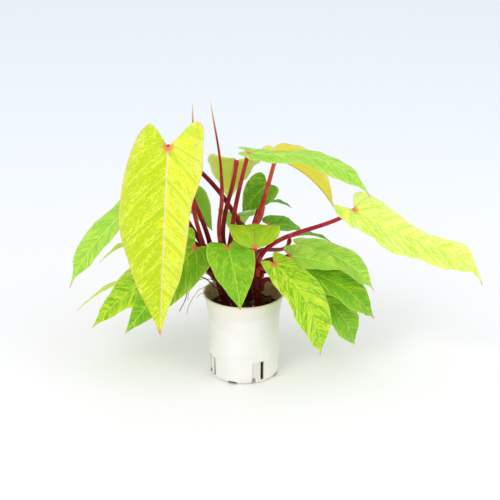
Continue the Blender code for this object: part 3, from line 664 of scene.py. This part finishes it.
def swept(name, centres, radius_at, sides, material, replaced=()):
    """A closed rod along a run of points; radius_at(along, turn) gives its radius."""
    shape = bmesh.new()
    layer = shape.verts.layers.float_vector.new("rod_place")
    side = Vector((0, 0, 1)).cross(centres[1] - centres[0])
    if side.length < 1e-9:
        side = Vector((1, 0, 0))
    last = len(centres) - 1
    rings = []
    travelled = 0.0
    for index, centre in enumerate(centres):
        before = centres[max(index - 1, 0)]
        travelled += (centre - before).length
        along = (centres[min(index + 1, last)] - before).normalized()
        side = (side - along * side.dot(along)).normalized()
        other = along.cross(side)
        share = index / last
        ring = []
        for step in range(sides):
            turn = math.tau * step / sides
            offset = side * math.cos(turn) + other * math.sin(turn)
            vertex = shape.verts.new(centre + offset * radius_at(share, turn))
            vertex[layer] = (math.cos(turn), share, travelled / MM)
            ring.append(vertex)
        rings.append(ring)
    for low, high in zip(rings, rings[1:]):
        for step in range(sides):
            after = (step + 1) % sides
            shape.faces.new((low[step], low[after], high[after], high[step]))
    for ring, way in ((rings[0], -1), (rings[-1], 1)):
        end = centres[0] if way < 0 else centres[-1]
        outward = (centres[0] - centres[1]) if way < 0 else (centres[-1] - centres[-2])
        middle = shape.verts.new(end + outward.normalized() * 0.35 * (ring[0].co - end).length)
        middle[layer] = ring[0][layer]
        for step in range(sides):
            after = (step + 1) % sides
            corners = (ring[after], ring[step]) if way < 0 else (ring[step], ring[after])
            shape.faces.new((*corners, middle))
    return finish_piece(name, shape, material, replaced)


def rod_material(name, deep, light, highlight, tip, tip_from, roughness):
    """Smooth plant skin with long streaks that changes colour towards one end."""
    skin = Nodes(name, roughness)
    around, along, travelled = skin.attribute("rod_place")
    streaks = skin.vector(skin.times(around, 3.0), skin.times(travelled, 0.05), 0.0)
    lines = skin.noise(streaks, 1.6, 4.0)
    spots = skin.noise(skin.place(), 900, 3.0)
    patches = skin.noise(skin.place(), 70, 2.0)
    colour = skin.mix(skin.between(lines, 0.35, 0.68), rgb(*deep), rgb(*light))
    colour = skin.mix(skin.between(patches, 0.52, 0.75, 0.0, 0.55), colour, rgb(*highlight))
    colour = skin.mix(skin.between(spots, 0.62, 0.74, 0.0, 0.35), colour, rgb(*highlight))
    colour = skin.mix(skin.between(along, tip_from, 1.0), colour, rgb(*tip))
    skin.bump(skin.scaled(lines, 0.7, skin.times(spots, 0.3)), 0.2 * MM, 0.5)
    rough = skin.between(spots, 0.3, 0.7, roughness - 0.08, roughness + 0.12)
    return skin.finish(colour, rough, ROD_SPECULAR)


class Stem:
    """A short upright stem that stands on the potting mix."""

    def __init__(self, row, mix_top):
        self.name, foot, head, foot_radius, head_radius = row
        self.foot = Vector((foot[0] * MM, foot[1] * MM, mix_top + GAP))
        self.head = millimetres(head)
        self.foot_radius = foot_radius * MM
        self.head_radius = head_radius * MM
        self.along = (self.head - self.foot).normalized()
        self.foot.z += self.foot_radius * math.sqrt(1 - self.along.z ** 2)
        self.nodes = sorted(leaf[2] for leaf in LEAVES if leaf[1] == self.name)

    def seat(self, share, azimuth, radius):
        own = self.foot_radius + (self.head_radius - self.foot_radius) * share
        out = direction(azimuth)
        out = (out - self.along * out.dot(self.along)).normalized()
        return self.foot + (self.head - self.foot) * share + out * (own + GAP + radius), out

    def build(self, material):
        count = 70
        centres = [self.foot + (self.head - self.foot) * (step / count) for step in range(count + 1)]
        centres[0] = self.foot - self.along * 3 * MM

        def radius_at(share, turn):
            own = self.foot_radius + (self.head_radius - self.foot_radius) * share
            ring = sum(math.exp(-((share - node + 0.05) / 0.012) ** 2) for node in self.nodes)
            wobble = noise.noise(Vector((math.cos(turn) * 2, math.sin(turn) * 2, share * 14)))
            return own * (1 + 0.10 * min(1.0, ring) + 0.06 * wobble)

        return swept(self.name + "_bark", centres, radius_at, 24, material, (self.name,))


def petiole_route(row, stem, blade, steps):
    """Centres of a leaf stalk from beside its stem to just under the blade's junction."""
    share, azimuth = row[2:4]
    lean = math.radians(PETIOLE_SPREAD)
    start, out = stem.seat(share, azimuth, PETIOLE_BASE_RADIUS * math.cos(lean))
    _, _, normal = blade.frame(0)
    span = (blade.junction - start).length
    start_way = stem.along * math.cos(lean) + out * math.sin(lean)
    end_way = ((blade.junction - start).normalized() + normal * PETIOLE_RISE).normalized()
    tilt = math.sqrt(max(0.0, 1 - end_way.dot(normal) ** 2))
    end = blade.junction - normal * (CAD_BLADE_THICKNESS / 2 + GAP + PETIOLE_END_RADIUS * tilt)
    reach = span * PETIOLE_REACH
    first = start + start_way * reach
    second = end - end_way * reach
    centres = []
    for step in range(steps + 1):
        t = step / steps
        keep = 1 - t
        near_stem = start * keep ** 3 + first * (3 * keep ** 2 * t)
        centres.append(near_stem + second * (3 * keep * t ** 2) + end * t ** 3)
    return centres, stem.along, out


def build_petiole(row, stem, blade, material):
    steps = 56
    centres, stem_way, out = petiole_route(row, stem, blade, steps)
    foot = centres[0] - stem_way * 7 * MM - out * 1.2 * MM
    centres.insert(0, foot)
    centres.append(blade.junction - blade.frame(0)[2] * STALK_TOP_DROP)

    def radius_at(share, turn):
        own = PETIOLE_BASE_RADIUS + (PETIOLE_END_RADIUS - PETIOLE_BASE_RADIUS) * share
        sheath = 0.22 * smoothstep(0.16, 0.02, share)
        knee = 0.30 * math.exp(-((share - 0.955) / 0.022) ** 2)
        channel = 0.10 * math.exp(-((math.cos(turn) - 1) / 0.25) ** 2)
        taper = 1 - 0.35 * smoothstep(0.03, 0.0, share)
        return own * (1 + sheath + knee - channel) * taper * STALK_FULLNESS

    return swept(row[0] + "_stalk", centres, radius_at, 18, material,
                 (row[0] + "_petiole",))


def build_spear(row, stems, material):
    """A rolled new leaf: the outer turn's edge runs up it as a slow spiral step."""
    name, stem_name, azimuth, places, radius = row
    start, _ = stems[stem_name].seat(0.9, azimuth, radius * MM)
    points = [start] + [millimetres(place) for place in places]
    count = 110
    centres = [spline(points, step / count) for step in range(count + 1)]

    def radius_at(share, turn):
        own = radius * MM + (SPEAR_TIP_RADIUS - radius * MM) * share
        swell = 1 + 0.42 * math.exp(-((share - 0.55) / 0.24) ** 2)
        step_turn = (turn / math.tau + share * 1.3) % 1.0
        roll = 0.20 * (step_turn - 0.5) * smoothstep(0.28, 0.42, share)
        point = 1 - 0.55 * smoothstep(0.93, 1.0, share)
        return own * (swell + roll) * point

    return swept(name + "_roll", centres, radius_at, 28, material, (name,))


def swaying(points, count, rate, spot, sway):
    """Centres along a run of points that sway by some millimetres, except at the two ends."""
    centres = []
    for step in range(count + 1):
        t = step / count
        drift = noise.noise_vector(Vector((t * rate, *spot)))
        centres.append(spline(points, t) + drift * sway * MM * math.sin(math.pi * t))
    return centres


def build_root(row, stems, material):
    name, stem_name, share, azimuth, places = row
    start, _ = stems[stem_name].seat(share, azimuth, GAP)
    points = [start] + [millimetres(place) for place in places]

    def radius_at(along, turn):
        knots = 1 + 0.25 * noise.noise(Vector((along * 40, turn, share * 9)))
        return (0.85 - 0.4 * along) * MM * knots

    return swept(name + "_fibre", swaying(points, 80, 7, (azimuth, share * 30), 0.9), radius_at, 10,
                 material, (name,))


def build_fine_roots(material):
    """Thin roots that leave the crown and hang over the rim."""
    for index, places in enumerate(FINE_ROOTS):
        points = [millimetres(place) for place in places]
        swept(f"fine_root_{index:02d}", swaying(points, 60, 9, (index * 5.0, 3.0), 1.4),
              lambda along, turn: FINE_ROOT_RADIUS * (1 - 0.45 * along), 8, material)


# ---- pot

def arc(centre, radius, start, end, steps):
    """Points of a round corner of a profile, as (radius, height)."""
    points = []
    for step in range(steps + 1):
        turn = math.radians(start + (end - start) * step / steps)
        points.append((centre[0] + radius * math.cos(turn), centre[1] + radius * math.sin(turn)))
    return points


class Pot:
    """The nursery pot: tapered body, flared collar, rolled rim, sunk slot panels and drain notches."""

    def __init__(self):
        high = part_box("nursery_pot")[1]
        self.height = high.z
        self.rim = high.x
        self.collar_foot = self.height - COLLAR_HEIGHT

    def outer(self, height):
        if height >= self.collar_foot:
            share = (height - self.collar_foot) / COLLAR_HEIGHT
            return COLLAR_RADIUS + (self.rim - LIP_BEAD - COLLAR_RADIUS) * share
        share = height / self.collar_foot
        return BASE_RADIUS + (COLLAR_RADIUS - COLLAR_STEP - BASE_RADIUS) * share

    def inner(self, height):
        return self.outer(height) - POT_WALL

    def profile(self):
        bead = 1.3 * MM
        lip = self.rim - bead
        points = [(0, 0.6 * MM), (BASE_RADIUS * 0.72, 0.6 * MM), (BASE_RADIUS * 0.76, 0)]
        points += arc((BASE_RADIUS - BASE_ROUND, BASE_ROUND), BASE_ROUND, -90, 0, 10)
        points += [(self.outer(self.collar_foot * share), self.collar_foot * share)
                   for share in (0.3, 0.5, 0.7, 0.9)]
        points += [(COLLAR_RADIUS - COLLAR_STEP, self.collar_foot - 0.3 * MM)]
        points += arc((COLLAR_RADIUS - 0.5 * MM, self.collar_foot + 0.4 * MM), 0.5 * MM, -60, 0, 4)
        points += [(self.outer(self.collar_foot + COLLAR_HEIGHT * share) - 0.1 * MM,
                    self.collar_foot + COLLAR_HEIGHT * share) for share in (0.25, 0.5, 0.75)]
        points += [(self.outer(self.height - 3.2 * MM) - 0.3 * MM, self.height - 3.2 * MM)]
        points += arc((lip, self.height - bead), bead, -80, 100, 12)
        points += [(self.inner(self.height - 2 * MM), self.height - 2.4 * MM)]
        points += [(self.inner(self.collar_foot + COLLAR_HEIGHT * share),
                    self.collar_foot + COLLAR_HEIGHT * share) for share in (0.6, 0.3, 0.05)]
        points += [(self.inner(self.collar_foot * share), self.collar_foot * share)
                   for share in (0.96, 0.7, 0.4, 0.14)]
        floor_round = self.inner(POT_FLOOR + BASE_ROUND) - BASE_ROUND
        points += arc((floor_round, POT_FLOOR + BASE_ROUND), BASE_ROUND, -10, -90, 6)
        points.append((0, POT_FLOOR))
        return points

    def build(self, material):
        shape = turned_shape(self.profile(), POT_FACETS)
        pot = finish_piece("pot_shell", shape, material, ("nursery_pot",), 35)
        pitch = 360 / SLOT_COUNT
        panel_width, panel_height = SLOT_PANEL
        middle = SLOT_BOTTOM + panel_height / 2
        wall = self.outer(middle)
        inside = math.sqrt(wall ** 2 - (panel_width / 2) ** 2) - SLOT_PANEL_DEPTH
        cutters = []
        for index in range(SLOT_COUNT):
            azimuth = SLOT_START + pitch * index
            cutters.append(cutter((7.2 * MM, panel_width, panel_height),
                                  (inside + 3.6 * MM, 0, middle), azimuth, 0.9 * MM))
            cutters.append(cutter((14 * MM, SLOT_WIDTH, panel_height - 3 * MM),
                                  (wall, SLOT_SIDE, middle), azimuth, 0.5 * MM))
            cutters.append(cutter(NOTCH, (BASE_RADIUS, 0, 0), azimuth + pitch / 2, 0.6 * MM))
        carve(pot, cutters)
        return pot


def turned_shape(profile, facets):
    """Solid of revolution about Z; the profile's two ends lie on the axis."""
    shape = bmesh.new()
    corners = [shape.verts.new((radius, 0, height)) for radius, height in profile]
    edges = [shape.edges.new(pair) for pair in zip(corners, corners[1:])]
    bmesh.ops.spin(shape, geom=corners + edges, cent=(0, 0, 0), axis=(0, 0, 1),
                   angle=math.tau, steps=facets)
    bmesh.ops.remove_doubles(shape, verts=shape.verts, dist=0.01 * MM)
    return shape


def cutter(size, place, azimuth, rounding):
    """A box with rounded edges that cuts the pot; its own X points outward along the azimuth."""
    shape = bmesh.new()
    bmesh.ops.create_cube(shape, size=1)
    bmesh.ops.transform(shape, matrix=Matrix.Diagonal((*size, 1)), verts=shape.verts)
    bmesh.ops.bevel(shape, geom=list(shape.edges), offset=rounding, segments=3, profile=0.5,
                    affect="EDGES")
    turn = Matrix.Rotation(math.radians(azimuth), 4, "Z")
    bmesh.ops.transform(shape, matrix=turn @ Matrix.Translation(place), verts=shape.verts)
    mesh = bpy.data.meshes.new("cutter")
    shape.to_mesh(mesh)
    shape.free()
    box = bpy.data.objects.new("cutter", mesh)
    bpy.context.scene.collection.objects.link(box)
    return box


def carve(target, cutters):
    """Cut the boxes out of the piece for good, then remove them."""
    for box in cutters:
        knife = target.modifiers.new("cut", "BOOLEAN")
        knife.operation = "DIFFERENCE"
        knife.solver = "EXACT"
        knife.object = box
    graph = bpy.context.evaluated_depsgraph_get()
    carved = bpy.data.meshes.new_from_object(target.evaluated_get(graph))
    target.modifiers.clear()
    target.data = carved
    carved.shade_smooth()
    carved.set_sharp_from_angle(angle=math.radians(35))
    for box in cutters:
        mesh = box.data
        bpy.data.objects.remove(box)
        bpy.data.meshes.remove(mesh)


def slot_marks(skin, x, y, z, grain):
    """Painted shade of the sunk panels, at the slots and at the notches, and grime at the panels' lower
    corners.
    """
    shades = painted_shade_and_dirt = 0.0
    half_width = SLOT_PANEL[0] / 2
    top = SLOT_BOTTOM + SLOT_PANEL[1]
    blur = 0.2 * MM
    notch_blur = 0.6 * MM
    in_height = skin.times(skin.between(z, SLOT_BOTTOM - blur, SLOT_BOTTOM + blur),
                           skin.between(z, top + blur, top - blur))
    corner_up = skin.math("SUBTRACT", z, SLOT_BOTTOM)
    notch_up = skin.between(z, NOTCH[2] / 2 + notch_blur, NOTCH[2] / 2)
    dusty = skin.between(grain, 0.36, 0.50)

    def out_along(azimuth):
        way = direction(azimuth)
        return skin.scaled(x, way.x, skin.times(y, way.y))

    for index in range(SLOT_COUNT):
        azimuth = SLOT_START + index * 360 / SLOT_COUNT
        facing = skin.math("GREATER_THAN", out_along(azimuth), 0.5 * BASE_RADIUS)
        sideways = out_along(azimuth + 90)
        reach = skin.math("ABSOLUTE", sideways)
        edge = skin.between(skin.apart(reach, half_width), 1.1 * MM, blur)
        field = skin.between(reach, half_width, half_width - 0.4 * MM, 0.0, 0.25)
        panel = skin.times(skin.scaled(edge, 0.8, field), facing, in_height)
        shades = skin.math("MAXIMUM", shades, panel)

        # Painted shade beside each slot, darkening the wall round its opening
        slot = skin.between(skin.apart(sideways, SLOT_SIDE), SLOT_WIDTH / 2 + SLOT_HALO[0],
                            SLOT_WIDTH / 2 + SLOT_HALO[1])
        corner_side = skin.times(skin.math("ADD", sideways, half_width - MM), 1.6)
        corner = skin.between(skin.distance(corner_side, corner_up), 6 * MM, 2 * MM)
        # Painted shade round each drain notch, darkening the wall beside its opening
        notch_azimuth = azimuth + 180 / SLOT_COUNT
        notch_side = skin.math("ABSOLUTE", out_along(notch_azimuth + 90))
        notch = skin.between(notch_side, NOTCH[1] / 2 + notch_blur, NOTCH[1] / 2)
        ahead = skin.math("GREATER_THAN", out_along(notch_azimuth),
                          BASE_RADIUS - NOTCH[0] / 2 - blur)
        # The slot and notch marks are painted shade; the corner mark is grime
        for mark in (skin.times(slot, facing, in_height), skin.times(corner, dusty, facing),
                     skin.times(notch, notch_up, ahead)):
            painted_shade_and_dirt = skin.math("MAXIMUM", painted_shade_and_dirt, mark)
    return shades, painted_shade_and_dirt


def pot_material(pot):
    """Off-white plastic: warm collar, cream rim, stains inside, grime at the panels' corners and round the
    foot, and painted shade at the panels, slots and notches.
    """
    skin = Nodes("pot_plastic_look", 0.4)
    place = skin.place()
    x, y, z = skin.parts(place)
    cloud = skin.noise(place, 22, 3.0)
    grain = skin.noise(place, 420, 4.0)
    flat = skin.vector(skin.times(x, 60), skin.times(y, 60), skin.times(z, 500))
    scratch = skin.noise(flat, 1.0, 3.0)
    colour = skin.mix(skin.between(cloud, 0.35, 0.68), rgb(243, 242, 237), rgb(237, 234, 224))
    collar = skin.between(z, pot.collar_foot - 2 * MM, pot.collar_foot + 4 * MM, 0.0, 0.55)
    colour = skin.mix(collar, colour, rgb(238, 231, 214))
    rim = skin.between(z, pot.height - 4 * MM, pot.height - 1 * MM, 0.0, 0.8)
    colour = skin.mix(rim, colour, rgb(238, 222, 176))

    # The cavity's wall is stained by the mix
    body_slope = (pot.inner(pot.collar_foot - MM) - pot.inner(0)) / (pot.collar_foot - MM)
    collar_slope = (pot.inner(pot.height) - pot.inner(pot.collar_foot)) / COLLAR_HEIGHT
    body_wall = skin.scaled(z, body_slope, pot.inner(0))
    collar_wall = skin.scaled(z, collar_slope, pot.inner(pot.height) - collar_slope * pot.height)
    in_collar = skin.math("GREATER_THAN", z, pot.collar_foot)
    collar_more = skin.times(skin.math("SUBTRACT", collar_wall, body_wall), in_collar)
    wall = skin.math("SUBTRACT", skin.distance(x, y), skin.math("ADD", body_wall, collar_more))
    inside = skin.between(wall, 0.9 * MM, 0.3 * MM)
    stain = skin.mix(skin.between(grain, 0.3, 0.7), rgb(205, 180, 132), rgb(150, 118, 78))
    stain = skin.mix(skin.between(cloud, 0.4, 0.7), stain, rgb(224, 205, 165))
    panel_top = SLOT_BOTTOM + SLOT_PANEL[1]
    above = skin.between(z, panel_top + 4 * MM, panel_top + 9 * MM)
    colour = skin.mix(skin.times(inside, above), colour, stain)

    # Dust near the foot, then the painted shade of panels, slots and notches, and grime at the panels'
    # corners
    dust = skin.times(skin.between(z, 9 * MM, 0.0), skin.between(grain, 0.50, 0.68), 0.5)
    colour = skin.mix(dust, colour, rgb(150, 128, 104))
    shade, painted_shade_and_dirt = slot_marks(skin, x, y, z, grain)
    colour = skin.mix(skin.times(shade, 0.8), colour, rgb(170, 164, 150))
    # Painted shade at the slots and notches, and grime at the panels' corners, in one dark brown
    colour = skin.mix(skin.times(painted_shade_and_dirt, 0.92), colour, rgb(52, 42, 34))
    skin.bump(skin.scaled(scratch, 0.4, skin.times(grain, 0.3)), 0.08 * MM, 0.5)
    return skin.finish(colour, skin.between(grain, 0.3, 0.7, 0.34, 0.5))


# ---- potting mix

def build_mix(pot, material, mix_top):
    """The mix fills the pot, with an uneven top."""
    shape = bmesh.new()
    segments = 96
    rings = 30
    top_radius = pot.inner(mix_top) - 0.6 * MM
    lines = []
    centre = shape.verts.new((0, 0, mix_top))
    for ring in range(1, rings + 1):
        radius = top_radius * ring / rings
        line = []
        for step in range(segments):
            turn = math.tau * step / segments
            spot = Vector((radius * math.cos(turn), radius * math.sin(turn), 0))
            height = 1.6 * MM * noise.noise(spot * 160) + 0.9 * MM * noise.noise(spot * 420)
            line.append(shape.verts.new((spot.x, spot.y, mix_top - 0.6 * MM + height)))
        lines.append(line)
    foot = POT_FLOOR + 0.3 * MM
    for height in (pot.collar_foot - 1 * MM, foot + 10 * MM, foot):
        radius = pot.inner(height) - (0.9 * MM if height > foot else 7 * MM)
        lines.append([shape.verts.new((radius * math.cos(math.tau * step / segments),
                                       radius * math.sin(math.tau * step / segments), height))
                      for step in range(segments)])
    for step in range(segments):
        shape.faces.new((centre, lines[0][step], lines[0][(step + 1) % segments]))
    for low, high in zip(lines, lines[1:]):
        for step in range(segments):
            after = (step + 1) % segments
            shape.faces.new((low[step], high[step], high[after], low[after]))
    shape.faces.new(lines[-1])
    return finish_piece("mix_body", shape, material, ("potting_mix",), 50)


def lump(shape, layer, centre, size, tone, source, roughness):
    """An irregular rounded chunk."""
    made = bmesh.ops.create_icosphere(shape, subdivisions=2, radius=0.5)["verts"]
    spin = Matrix.Rotation(source.uniform(0, math.tau), 3, "Z")
    turn = spin @ Matrix.Rotation(source.uniform(0, math.tau), 3, "X")
    shift = Vector([source.uniform(0, 90) for _ in range(3)])
    for vertex in made:
        way = vertex.co.normalized()
        swell = 1 + roughness * noise.noise(way * 1.6 + shift)
        stretched = Vector((way.x * size[0], way.y * size[1], way.z * size[2])) * 0.5 * swell
        vertex.co = centre + turn @ stretched
        vertex[layer] = (tone, shift.x, 0)


def scatter(name, count, sizes, flatness, roughness, reach, mix_top, material, seed, tones=(0, 1),
            keep_off=()):
    """Many chunks that lie on the mix, as one piece."""
    source = random.Random(seed)
    shape = bmesh.new()
    layer = shape.verts.layers.float_vector.new("lump_tone")
    placed = 0
    while placed < count:
        radius = reach * math.sqrt(source.random())
        turn = source.uniform(0, math.tau)
        spot = Vector((radius * math.cos(turn), radius * math.sin(turn), 0))
        big = source.uniform(*sizes)
        if any((spot.xy - foot).length < 6 * MM for foot in keep_off):
            continue
        size = (big, big * source.uniform(0.5, 0.8), big * flatness * source.uniform(0.6, 1.0))
        spot.z = mix_top + source.uniform(-0.1, 0.35) * size[2]
        lump(shape, layer, spot, size, source.uniform(*tones), source, roughness)
        placed += 1
    return finish_piece(name, shape, material, (), 40)


def lump_material(name, dark, middle, pale, roughness):
    skin = Nodes(name, roughness)
    tone, _, _ = skin.attribute("lump_tone")
    grain = skin.noise(skin.place(), 600, 4.0, 0.65)
    colour = skin.mix(skin.between(tone, 0.0, 0.6), dark, middle)
    colour = skin.mix(skin.between(tone, 0.7, 1.0), colour, pale)
    colour = skin.mix(skin.between(grain, 0.45, 0.62, 0.0, 0.5), colour, dark)
    skin.bump(grain, 0.4 * MM, 0.8)
    rough = skin.between(grain, 0.3, 0.7, roughness - 0.1, min(1.0, roughness + 0.08))
    return skin.finish(colour, rough)


def mix_material():
    skin = Nodes("mix_look", 0.95)
    grain = skin.noise(skin.place(), 380, 6.0, 0.7)
    clods = skin.cells(skin.place(), 300)
    colour = skin.mix(skin.between(grain, 0.4, 0.65), rgb(30, 18, 12), rgb(86, 56, 36))
    colour = skin.mix(skin.between(clods, 0.2, 0.6, 0.0, 0.5), colour, rgb(18, 10, 7))
    skin.bump(skin.math("ADD", grain, clods), 0.8 * MM, 0.9)
    return skin.finish(colour)


def build_surface_roots(mix_top, material, seed):
    """Orange-brown roots and twigs that run over the mix."""
    source = random.Random(seed)
    for index in range(9):
        turn = source.uniform(0, 360)
        start = direction(turn) * source.uniform(8, 30) * MM
        way = turn + source.uniform(60, 140)
        points = []
        for step in range(5):
            spot = start + direction(way + step * source.uniform(-25, 25)) * 7 * MM * step
            if spot.length > 42 * MM:
                spot *= 42 * MM / spot.length
            lift = 0.4 + 3.5 * math.sin(math.pi * step / 4) * source.uniform(0.2, 1.0)
            points.append(Vector((spot.x, spot.y, mix_top + lift * MM)))
        centres = [spline(points, step / 40) for step in range(41)]
        thick = source.uniform(0.5, 0.95) * MM
        swept(f"surface_root_{index:02d}", centres, lambda share, turn: thick * (1 - 0.5 * share), 8,
              material)


# ---- stage

def build_stage():
    """Pale floor that turns bluish with distance, soft light from the front left, and the camera."""
    shape = bmesh.new()
    bmesh.ops.create_grid(shape, x_segments=8, y_segments=8, size=FLOOR_SIZE / 2)
    mesh = bpy.data.meshes.new("floor")
    shape.to_mesh(mesh)
    shape.free()
    floor = bpy.data.objects.new("floor", mesh)
    bpy.context.scene.collection.objects.link(floor)
    look = Nodes("floor_look", 0.9)
    x, y, _ = look.parts(look.place())
    far = look.between(look.distance(x, y), 0.15, 1.1)
    colour = look.mix(far, rgb(252, 249, 249), rgb(247, 251, 255))
    mesh.materials.append(look.finish(colour, specular=0.1))

    world = bpy.data.worlds.new("studio")
    world.use_nodes = True
    backdrop = world.node_tree.nodes["Background"]
    backdrop.inputs["Color"].default_value = (0.94, 0.97, 1.0, 1.0)
    backdrop.inputs["Strength"].default_value = WORLD_LIGHT
    bpy.context.scene.world = world
    add_light("key_light", (-1.1, -1.5, 1.9), 1.3, KEY_LIGHT, (1.0, 0.985, 0.96))
    add_light("fill_light", (1.6, -0.9, 1.0), 1.6, FILL_LIGHT, (0.96, 0.98, 1.0))

    camera = bpy.data.objects.new("camera", bpy.data.cameras.new("camera"))
    bpy.context.scene.collection.objects.link(camera)
    pitch = math.radians(CAMERA_PITCH)
    camera.location = CAMERA_TARGET + direction(-90, CAMERA_PITCH) * CAMERA_DISTANCE
    camera.rotation_euler = (math.pi / 2 - pitch, 0, 0)
    camera.data.lens = CAMERA_LENS
    camera.data.sensor_width = 36
    bpy.context.scene.camera = camera
    bpy.context.scene.view_settings.view_transform = "Standard"


def add_light(name, place, size, power, colour):
    """A square soft light that looks at the plant."""
    lamp = bpy.data.lights.new(name, "AREA")
    lamp.size = size
    lamp.energy = power
    lamp.color = colour
    light = bpy.data.objects.new(name, lamp)
    light.location = place
    aim = CAMERA_TARGET - Vector(place)
    light.rotation_euler = aim.to_track_quat("-Z", "Y").to_euler()
    bpy.context.scene.collection.objects.link(light)


# ---- the plant

def main():
    noise.seed_set(SWAY_SEED)
    build_stage()
    mix_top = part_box("potting_mix")[1].z
    pot = Pot()
    pot.build(pot_material(pot))
    build_mix(pot, mix_material(), mix_top)
    stems = {row[0]: Stem(row, mix_top) for row in STEMS}
    feet = [stem.foot.xy for stem in stems.values()]
    reach = pot.inner(mix_top) - 4 * MM
    bark = lump_material("bark_look", rgb(28, 16, 10), rgb(92, 58, 36), rgb(140, 98, 62), 0.85)
    scatter("bark_chunks", 210, (3 * MM, 8 * MM), 0.45, 0.9, reach, mix_top, bark, 11, (0, 1), feet)
    crumbs = lump_material("crumb_look", rgb(22, 13, 8), rgb(64, 40, 26), rgb(104, 72, 46), 0.95)
    scatter("mix_crumbs", 420, (1.2 * MM, 3 * MM), 0.7, 0.8, reach + 2 * MM, mix_top, crumbs, 12)
    perlite = lump_material("perlite_look", rgb(170, 160, 140), rgb(226, 220, 205),
                            rgb(246, 243, 234), 0.8)
    scatter("perlite_grains", 46, (1.5 * MM, 3.6 * MM), 0.8, 0.5, reach, mix_top + 0.4 * MM, perlite,
            13, (0.3, 1), feet)

    rods = {name: rod_material(name, *look) for name, look in ROD_LOOKS.items()}
    palettes = leaf_palettes()
    for stem in stems.values():
        stem.build(rods["stem_look"])
    for index, row in enumerate(LEAVES):
        blade = Blade(row, 100 + index)
        skin = leaf_material(blade.name, palettes[blade.name], blade.length, index * 5.3)
        blade.build(skin)
        stalk_look = "stalk_look_" + STALK_LOOKS.get(blade.name, "dark")
        build_petiole(row, stems[row[1]], blade, rods[stalk_look])
    for row in SPEARS:
        build_spear(row, stems, rods["spear_look"])
    for row in ROOTS:
        build_root(row, stems, rods["root_look"])
    build_surface_roots(mix_top, rods["orange_root_look"], 21)
    build_fine_roots(rods["root_look"])


main()
